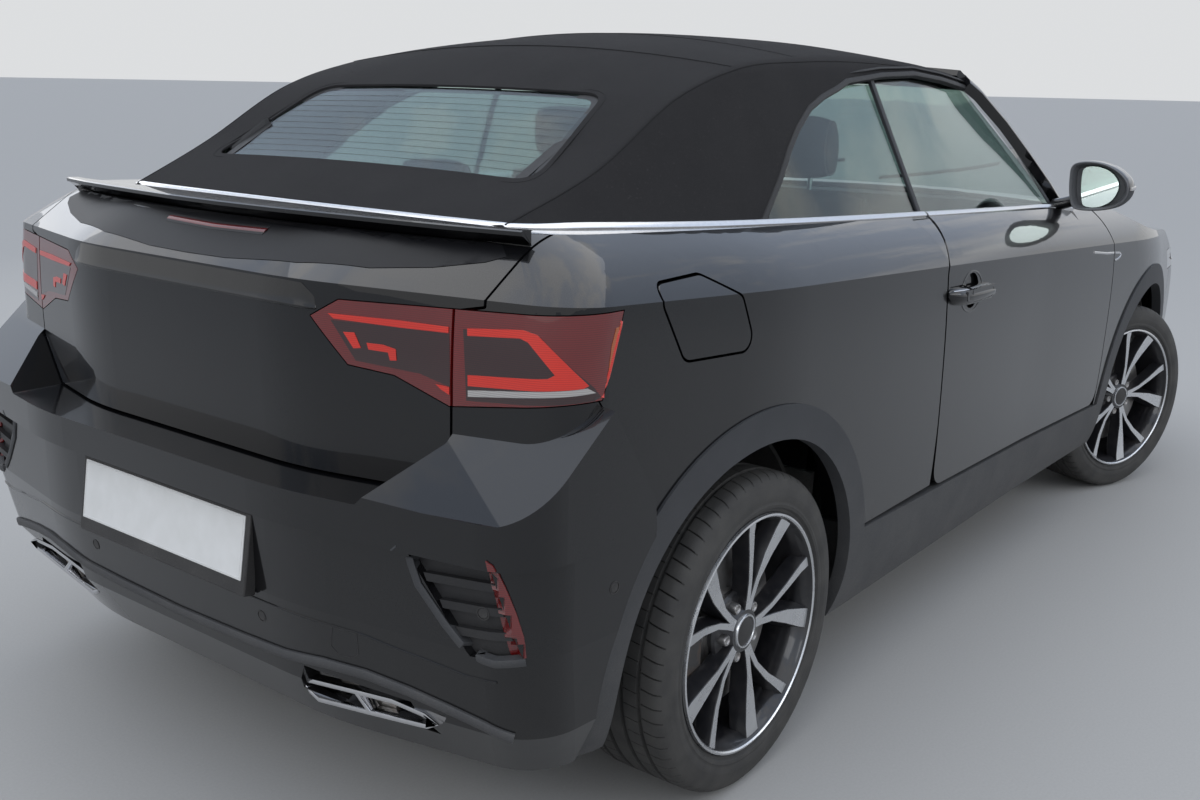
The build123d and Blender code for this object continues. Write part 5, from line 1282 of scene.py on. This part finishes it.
# Ground iron of the disc, with some rust
disc_iron, tree, shader, place = start_finish("disc_iron", Metallic=0.9, Roughness=0.35)
disc_rings = add_node(tree, "ShaderNodeTexWave", {"Vector": place, "Scale": 120.0, "Distortion": 1.0},
                      wave_type="RINGS", rings_direction="Y")
disc_cloud = add_node(tree, "ShaderNodeTexNoise", {"Vector": place, "Scale": 30.0, "Detail": 5.0})
disc_rust = add_node(tree, "ShaderNodeMapRange", {
    "Value": disc_cloud.outputs["Fac"], "From Min": 0.5, "To Max": 0.8}).outputs["Result"]
tree.links.new(blend_colour(tree, disc_rust, (0.42, 0.41, 0.40, 1), (0.16, 0.07, 0.035, 1)),
               shader.inputs["Base Color"])
bump_from(tree, shader, disc_rings.outputs["Fac"], 0.00004)

BARREL = [(249, -103), (247.5, -108.5), (243.5, -109.5), (240.5, -107), (238, -101), (234.5, -92), (229, -84),
          (226, -60), (221, 0), (222, 60), (230, 84), (241, 104), (249, 106), (251, 100), (243, 88),
          (230, 70), (229, -50), (243, -88), (251, -100)]
LIP_FACES = 3
barrel_verts, barrel_faces = turned(BARREL)
barrel_finish = [0 if (f % len(BARREL)) < LIP_FACES else 1 for f in range(len(barrel_faces))]
rim_pieces = [new_piece("barrel", barrel_verts, barrel_faces, [turned_alloy, rim_black], barrel_finish)]

# Along a spoke: radius, angle off the pair's middle, half width and height of its face, flank spread
THIN_SPOKE = [(38, 5.0, 7.0, 84, 4), (70, 6.0, 6.5, 85, 5), (108, 7.8, 6.0, 86, 7), (165, 12.8, 7.5, 90, 9),
              (215, 16.6, 10.0, 96, 8), (242, 17.6, 12.0, 101, 5)]
WIDE_SPOKE = [(38, -5.0, 7.0, 84, 4), (70, -6.0, 7.0, 85, 5), (108, -8.0, 7.5, 86, 8),
              (165, -12.0, 15.0, 90, 12), (215, -14.8, 20.0, 96, 10), (242, -15.6, 21.5, 101, 5)]
FLANK_DEPTH = 34.0
GROUPS = 5
FIRST_GROUP = 76.0
# The points of a station in their order round the spoke, the bright face first
AROUND = [0, 1, 3, 5, 7, 6, 4, 2]


def spoke(rows, middle):
    """Face, bevels and flanks of one spoke: eight points a station, faces marked bright or black."""
    verts, faces, finish = [], [], []
    for r, off, half, face_y, spread in rows:
        angle = math.radians(middle + off)
        radial = Vector((math.cos(angle), 0, math.sin(angle)))
        across = Vector((-math.sin(angle), 0, math.cos(angle)))
        for w, y in ((half, face_y), (half + 1.2, face_y - 1.5), (half + spread, face_y - FLANK_DEPTH),
                     (half + spread - 3, face_y - FLANK_DEPTH - 4)):
            for side in (1, -1):
                verts.append((radial * r + across * w * side) * MM + Vector((0, -y * MM, 0)))
    for i in range(len(rows) - 1):
        for j in range(8):
            a, b = AROUND[j], AROUND[(j + 1) % 8]
            faces.append((i * 8 + a, i * 8 + b, i * 8 + 8 + b, i * 8 + 8 + a))
            finish.append(0 if j == 0 else 1)
    faces.append(AROUND)
    faces.append([(len(rows) - 1) * 8 + a for a in AROUND[::-1]])
    return verts, faces, finish + [1, 1]


spoke_verts, spoke_faces, spoke_finish = [], [], []
for group in range(GROUPS):
    for rows in (THIN_SPOKE, WIDE_SPOKE):
        verts, faces, finish = spoke(rows, FIRST_GROUP + group * 360 / GROUPS)
        spoke_faces += [[len(spoke_verts) + i for i in face] for face in faces]
        spoke_verts += verts
        spoke_finish += finish
spokes = new_piece("spokes", spoke_verts, spoke_faces, [turned_alloy, rim_black], spoke_finish, sharp=20)
rim_pieces.append(spokes)

HUB = [(30.2, -46), (30.2, -79), (34, -84.5), (44, -84.5), (47, -80), (58, -66), (76, -62), (80, -56),
       (78, -46)]
CAP = [(0.05, -88.5), (20, -88.2), (28, -87.2), (30.5, -86.2)]
CAP_RING = [(30.5, -86.2), (31.5, -88.8), (34.5, -88.8), (36, -86), (36, -80), (30.5, -80)]
DISC = [(62, 46), (62, 12), (168, 12), (168, 20), (164, 21), (164, 27), (168, 28), (168, 36), (80, 36),
        (80, 46)]
rim_pieces.append(new_piece("hub", *turned(HUB), rim_black))
rim_pieces.append(new_piece("cap", *turned(CAP, closed=False), black_plastic))
rim_pieces.append(new_piece("cap_ring", *turned(CAP_RING), turned_alloy))
rim_pieces.append(new_piece("disc", *turned([(r, -y) for r, y in reversed(DISC)]), disc_iron))
BOLT = [(0.05, -78.5), (3.5, -78.5), (4, -77), (6.5, -77), (8.2, -80), (10.2, -80), (11.6, -77), (12.5, -60),
        (0.05, -60)]
BOLT_CIRCLE = 56.0
bolt_verts, bolt_faces = turned(BOLT, 24, closed=False)
for group in range(GROUPS):
    angle = math.radians(FIRST_GROUP + 36 + group * 72)
    at = Vector((math.cos(angle), 0, math.sin(angle))) * BOLT_CIRCLE * MM
    rim_pieces.append(new_piece(f"bolt{group}", [Vector(v) + at for v in bolt_verts], bolt_faces, disc_iron))


def joined(name, pieces):
    """Several meshes as one."""
    with bpy.context.temp_override(active_object=pieces[0], selected_editable_objects=pieces):
        bpy.ops.object.join()
    pieces[0].name = name
    return pieces[0]


rim_mesh = joined("rim_pattern", rim_pieces)
for corner in ("rear_left", "rear_right", "front_left", "front_right"):
    joint = next(j for j in frame["joints"] if j["name"] == f"spin_{corner}")
    axle = Vector(joint["axis"])
    outward = math.pi if "left" in corner else 0.0
    toe = Matrix.Rotation(math.atan2(-axle.x, axle.y) + outward, 4, "Z")
    for pattern, kind in ((tyre_mesh, "tyre"), (rim_mesh, "rim")):
        wheel_part = bpy.data.objects.new(f"{kind}_{corner}_finished", pattern.data)
        bpy.context.scene.collection.objects.link(wheel_part)
        wheel_part.matrix_world = Matrix.Translation(joint["pos_m"]) @ toe
        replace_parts(placed(wheel_part, f"wheel_{corner}"), f"{kind}_{corner}")
for pattern in (tyre_mesh, rim_mesh):
    bpy.data.objects.remove(pattern)


# Seats, seen through the glass: foam pads covered in dark cloth, with sewn channels and piped edges.
# The front seats stand on black rails and their headrests on plated posts; the rear one is a bench.
SEAT_DARK, SEAT_PALE = (0.020, 0.020, 0.022, 1), (0.040, 0.040, 0.043, 1)
seat_cloth, tree, shader, place = start_finish("seat_cloth", Roughness=0.88, Specular_IOR_Level=0.2)
seat_weave = add_node(tree, "ShaderNodeTexVoronoi", {"Vector": place, "Scale": 520.0})
seat_wear = add_node(tree, "ShaderNodeTexNoise", {"Vector": place, "Scale": 7.0, "Detail": 6.0})
seat_tone = blend_colour(tree, seat_wear.outputs["Fac"], SEAT_DARK, SEAT_PALE)
tree.links.new(seat_tone, shader.inputs["Base Color"])
bump_from(tree, shader, seat_weave.outputs["Distance"], 0.0004)
seam_thread, tree, shader, place = start_finish("seam_thread", Roughness=0.75)
twist = add_node(tree, "ShaderNodeTexWave", {"Vector": place, "Scale": 300.0}, bands_direction="DIAGONAL")
thread_tone = blend_colour(tree, twist.outputs["Fac"], (0.03, 0.03, 0.032, 1), (0.09, 0.09, 0.094, 1))
tree.links.new(thread_tone, shader.inputs["Base Color"])
PAD_STATIONS, PAD_STEP = 33, 11.0
SIDE_SOFT, CROWN_OUT = 16.0, 9.0
CHANNEL_DEEP, CHANNEL_WIDE = 5.0, 5.0
PIPING_AT, PIPING_IN = 0.965, 0.42


def pad_outline(points):
    """A side outline, its corners rounded and its points evened."""
    smooth = soft_outline(points, 3)
    path = evenly([tuple(p) for p in smooth] + [tuple(smooth[0])], PAD_STEP)[:-1]
    area = sum(a.x * b.y - b.x * a.y for a, b in zip(path, path[1:] + path[:1]))
    return path if area > 0 else path[::-1]


def pad(name, points, middle, half_width, channels, crown=CROWN_OUT):
    """A padded form: a side outline (lengthwise, height) across a width, crowned, with pulled-in
    sides and sewn channels at the given shares of its width."""
    path = pad_outline(points)
    count = len(path)
    outward = []
    for i, point in enumerate(path):
        along = (path[(i + 1) % count] - path[i - 1]).normalized()
        outward.append(Vector((along.y, -along.x)))
    rings = []
    for s in range(PAD_STATIONS):
        share = math.sin((s / (PAD_STATIONS - 1) - 0.5) * math.pi)
        pull = SIDE_SOFT * (1 - math.sqrt(max(0.0, 1 - abs(share) ** 6)))
        swell = crown * (1 - share * share) - crown * 0.5
        groove = sum(CHANNEL_DEEP * math.exp(-((share - c) * half_width / CHANNEL_WIDE) ** 2)
                     for c in channels)
        spots = [point + way * (swell - pull - groove) for point, way in zip(path, outward)]
        rings.append([Vector((spot.x, middle + half_width * share, spot.y)) * MM for spot in spots])
    made = closed_loft(name, rings, seat_cloth, sharp=60)
    placed(made, "body")
    for side, label in ((-1, "right"), (1, "left")):
        edge_rail = []
        for point, way in zip(path, outward):
            spot = point + way * (-crown * 0.5 - SIDE_SOFT * PIPING_IN)
            edge_rail.append((Vector((spot.x, middle + side * half_width * PIPING_AT, spot.y)) * MM,
                              Vector((way.x, side * 0.8, way.y)).normalized()))
        piping = strip(f"{name}_seam_{label}", edge_rail, bar_section(4, 2.5, 3), seam_thread, closed=True)
        placed(piping, "body")
    return made


SEAT_MIDDLE = 370.0
CUSHION = [(-330, 470), (-340, 540), (-250, 560), (-60, 575), (110, 605), (180, 600), (196, 560), (170, 490),
           (40, 455), (-200, 445)]
BACKREST = [(-190, 545), (-228, 640), (-268, 760), (-318, 920), (-372, 1060), (-410, 1128), (-448, 1128),
            (-462, 1090), (-440, 960), (-392, 780), (-345, 640), (-320, 548), (-250, 520)]
HEADREST = [(-385, 1180), (-378, 1250), (-402, 1312), (-440, 1322), (-468, 1300), (-472, 1220), (-455, 1168),
            (-410, 1160)]
SEAT_STEEL = [
    # name, places across the seat, half width, back and front, foot and top, finish, edge, slot
    ("headrest_post", 62, 6, (-432, -420), (1085, 1190), chrome, 4, "steel"),
    ("seat_rail", 180, 20, (-285, 122), (284, 470), black_plastic, 3, "iron"),
]
front_cushions = []
for side, label in ((1, "left"), (-1, "right")):
    middle = side * SEAT_MIDDLE
    front_cushions.append(pad(f"front_cushion_{label}", CUSHION, middle, 240, (-0.56, 0.56)))
    pad(f"front_back_{label}", BACKREST, middle, 232, (-0.55, 0.55))
    pad(f"front_headrest_{label}", HEADREST, middle, 122, (), 7)
    for name, across, half, (back, front), (foot, top), finish, edge, slot in SEAT_STEEL:
        for way in (-1, 1):
            y = middle + way * across
            where = "out" if way == side else "in"
            low, high = (back, y - half, foot), (front, y + half, top)
            placed(box_between(f"{name}_{label}_{where}", low, high, finish, edge), "body")
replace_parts(front_cushions[0], "front_seats")
REAR_CUSHION = [(-965, 300), (-968, 560), (-900, 585), (-640, 612), (-560, 625), (-522, 596), (-520, 440),
                (-560, 300)]
REAR_BACK = [(-955, 585), (-900, 625), (-930, 760), (-985, 1000), (-1020, 1078), (-1068, 1066), (-1078, 900),
             (-1078, 590)]
REAR_HEADREST = [(-1008, 1075), (-1002, 1140), (-1025, 1186), (-1060, 1186), (-1074, 1140), (-1070, 1075)]
rear_cushion = pad("rear_cushion", REAR_CUSHION, 0, 540, (-0.5, 0, 0.5), 7)
pad("rear_back", REAR_BACK, 0, 540, (-0.5, 0, 0.5), 7)
for side, label in ((1, "left"), (-1, "right")):
    pad(f"rear_headrest_{label}", REAR_HEADREST, side * 330, 112, (), 6)
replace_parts(rear_cushion, "rear_seat")

# Dashboard and steering wheel: a grained moulding across the cabin, and a leather-covered wheel on
# the column that turns in it.
dash_grain = grained_plastic(
    "dash_grain", (0.014, 0.014, 0.015, 1), (0.026, 0.026, 0.028, 1), 0.6, 800.0, 0.0002, 0.0)
leather = grained_plastic(
    "leather", (0.012, 0.012, 0.013, 1), (0.022, 0.021, 0.021, 1), 0.45, 700.0, 0.0003, 0.0)
dress(["dashboard"], dash_grain)
dress(["steering_wheel"], leather)

# Underside and running gear: coated floor, cast and pressed steel arms and knuckles with surface
# rust, an oxidised exhaust, a grey engine block and a moulded tank.


def worn_metal(name, base, patch, roughness, metallic):
    """Metal with broad patches of a second tone, fine pitting and road dust."""
    made, tree, shader, place = start_finish(name, Metallic=metallic, Roughness=roughness)
    cloud = add_node(tree, "ShaderNodeTexNoise", {
        "Vector": place, "Scale": 16.0, "Detail": 8.0, "Roughness": 0.7})
    patches = add_node(tree, "ShaderNodeMapRange", {
        "Value": cloud.outputs["Fac"], "From Min": 0.48, "From Max": 0.66})
    film = use_group(tree, road_dust, Place=place, Amount=0.4, Top=1.2)["Mask"]
    tone = blend_colour(tree, patches.outputs["Result"], base, patch)
    tree.links.new(blend_colour(tree, film, tone, DUST_COLOUR), shader.inputs["Base Color"])
    rough_from(tree, shader, cloud.outputs["Fac"], roughness - 0.12, roughness + 0.15)
    pits = add_node(tree, "ShaderNodeTexNoise", {"Vector": place, "Scale": 380.0, "Detail": 3.0})
    bump_from(tree, shader, pits.outputs["Fac"], 0.0003)
    return made


floor_coat = grained_plastic(
    "floor_coat", (0.016, 0.016, 0.016, 1), (0.030, 0.029, 0.028, 1), 0.8, 260.0, 0.0008, 0.9)
tank_plastic = grained_plastic(
    "tank_plastic", (0.012, 0.012, 0.013, 1), (0.020, 0.020, 0.021, 1), 0.55, 500.0, 0.0003, 0.8)
block_iron = worn_metal("block_iron", (0.16, 0.16, 0.16, 1), (0.09, 0.08, 0.075, 1), 0.6, 0.6)
exhaust_steel = worn_metal("exhaust_steel", (0.36, 0.34, 0.31, 1), (0.20, 0.13, 0.09, 1), 0.42, 0.9)
arm_iron = worn_metal("arm_iron", (0.045, 0.045, 0.047, 1), (0.10, 0.062, 0.042, 1), 0.6, 0.35)
dress(["underbody"], floor_coat)
dress(["fuel_tank"], tank_plastic)
dress(["engine_block"], block_iron)
dress(["exhaust"], exhaust_steel)
dress(["front_suspension", "rear_suspension", "knuckle_left", "knuckle_right"], arm_iron)

# The place it stands: a pale floor that runs on into a pale backdrop with soft clouds high up, large
# lamps above, behind and to both sides, and a camera where the photograph was taken from.
CAMERA_AT = Vector((-3.3878, -2.0442, 1.4076))
CAMERA_YAW, CAMERA_PITCH, CAMERA_ROLL = 0.658704, -0.253007, 0.0202922
CAMERA_LENS, CAMERA_SENSOR = 37.508, 36.0
FLOOR_RADIUS, FLOOR_CORNERS = 160, 96
FLOOR_PALE, FLOOR_PATCH = (0.34, 0.335, 0.325, 1), (0.43, 0.425, 0.41, 1)
BACKDROP_PALE = (0.60, 0.61, 0.62, 1)
# Height of a direction in the sky, and its tone there
SKY_TONES = [
    (0.0, BACKDROP_PALE), (0.12, BACKDROP_PALE), (0.17, (0.56, 0.60, 0.66, 1)),
    (0.34, (0.52, 0.60, 0.74, 1)), (0.8, (0.62, 0.72, 0.90, 1)),
]
CLOUD_PALE = (0.95, 0.96, 0.98, 1)
SKY_STRENGTH = 1.2

bpy.ops.mesh.primitive_circle_add(vertices=FLOOR_CORNERS, radius=FLOOR_RADIUS, fill_type="NGON")
floor = bpy.context.object
floor.name = "floor"
floor_finish, tree, shader, place = start_finish("studio_floor", Roughness=0.85)
floor_speck = add_node(tree, "ShaderNodeTexNoise", {
    "Vector": place, "Scale": 160.0, "Detail": 6.0, "Roughness": 0.7}).outputs["Fac"]
tree.links.new(blend_colour(tree, floor_speck, FLOOR_PALE, FLOOR_PATCH), shader.inputs["Base Color"])
floor.data.materials.append(floor_finish)

world = bpy.data.worlds.new("studio")
bpy.context.scene.world = world
world.use_nodes = True
tree = world.node_tree
tree.nodes.clear()
sky_dir = add_node(tree, "ShaderNodeTexCoord").outputs["Generated"]
sky_height = add_node(tree, "ShaderNodeSeparateXYZ", {"Vector": sky_dir}).outputs["Z"]
ramp_node = add_node(tree, "ShaderNodeValToRGB", {"Fac": sky_height})
stops = ramp_node.color_ramp.elements
for number, (height, tone) in enumerate(SKY_TONES):
    stop = stops[number] if number < len(stops) else stops.new(height)
    stop.position = height
    stop.color = tone
cloud = add_node(tree, "ShaderNodeTexNoise", {
    "Vector": sky_dir, "Scale": 3.2, "Detail": 8.0, "Roughness": 0.6})
cloud_edge = add_node(tree, "ShaderNodeMapRange", {
    "Value": cloud.outputs["Fac"], "From Min": 0.47, "From Max": 0.57})
cloud_high = add_node(tree, "ShaderNodeMapRange", {"Value": sky_height, "From Min": 0.14, "From Max": 0.26})
cloud_mask = add_node(tree, "ShaderNodeMath", {
    0: cloud_edge.outputs["Result"], 1: cloud_high.outputs["Result"]}, operation="MULTIPLY")
sky_tone = blend_colour(tree, cloud_mask.outputs[0], ramp_node.outputs["Color"], CLOUD_PALE)
sky_light = add_node(tree, "ShaderNodeBackground", {"Color": sky_tone, "Strength": SKY_STRENGTH})
add_node(tree, "ShaderNodeOutputWorld", {"Surface": sky_light.outputs[0]})

LAMPS = [
    # name, place, aimed at, width, length, watts
    ("top_lamp", (-0.4, 0.3, 4.6), (0, 0, 0.6), 3.2, 5.5, 40),
    ("rear_lamp", (-6.5, -1.5, 3.2), (-1.0, 0, 0.7), 3.5, 2.2, 50),
    ("right_lamp", (0.5, -6.0, 3.6), (0, 0, 0.7), 6.0, 1.2, 50),
    ("left_lamp", (1.5, 6.0, 3.4), (0, 0, 0.7), 5.0, 1.6, 30),
]
for name, at, aim, width, length, watts in LAMPS:
    lamp = bpy.data.objects.new(name, bpy.data.lights.new(name, "AREA"))
    bpy.context.scene.collection.objects.link(lamp)
    lamp.data.shape = "RECTANGLE"
    lamp.data.size, lamp.data.size_y = width, length
    lamp.data.energy = watts
    lamp.location = at
    lamp.rotation_mode = "QUATERNION"
    lamp.rotation_quaternion = (Vector(aim) - Vector(at)).to_track_quat("-Z", "Y")

forward = Vector((math.cos(CAMERA_YAW) * math.cos(CAMERA_PITCH),
                  math.sin(CAMERA_YAW) * math.cos(CAMERA_PITCH), math.sin(CAMERA_PITCH)))
level_right = forward.cross(Vector((0, 0, 1))).normalized()
level_up = level_right.cross(forward)
right = level_right * math.cos(CAMERA_ROLL) + level_up * math.sin(CAMERA_ROLL)
up = level_up * math.cos(CAMERA_ROLL) - level_right * math.sin(CAMERA_ROLL)
camera = bpy.data.objects.new("camera", bpy.data.cameras.new("camera"))
bpy.context.scene.collection.objects.link(camera)
camera.data.lens = CAMERA_LENS
camera.data.sensor_width = CAMERA_SENSOR
camera.matrix_world = Matrix.Translation(CAMERA_AT) @ Matrix((right, up, -forward)).transposed().to_4x4()
bpy.context.scene.camera = camera
bpy.context.scene.view_settings.view_transform = "Standard"
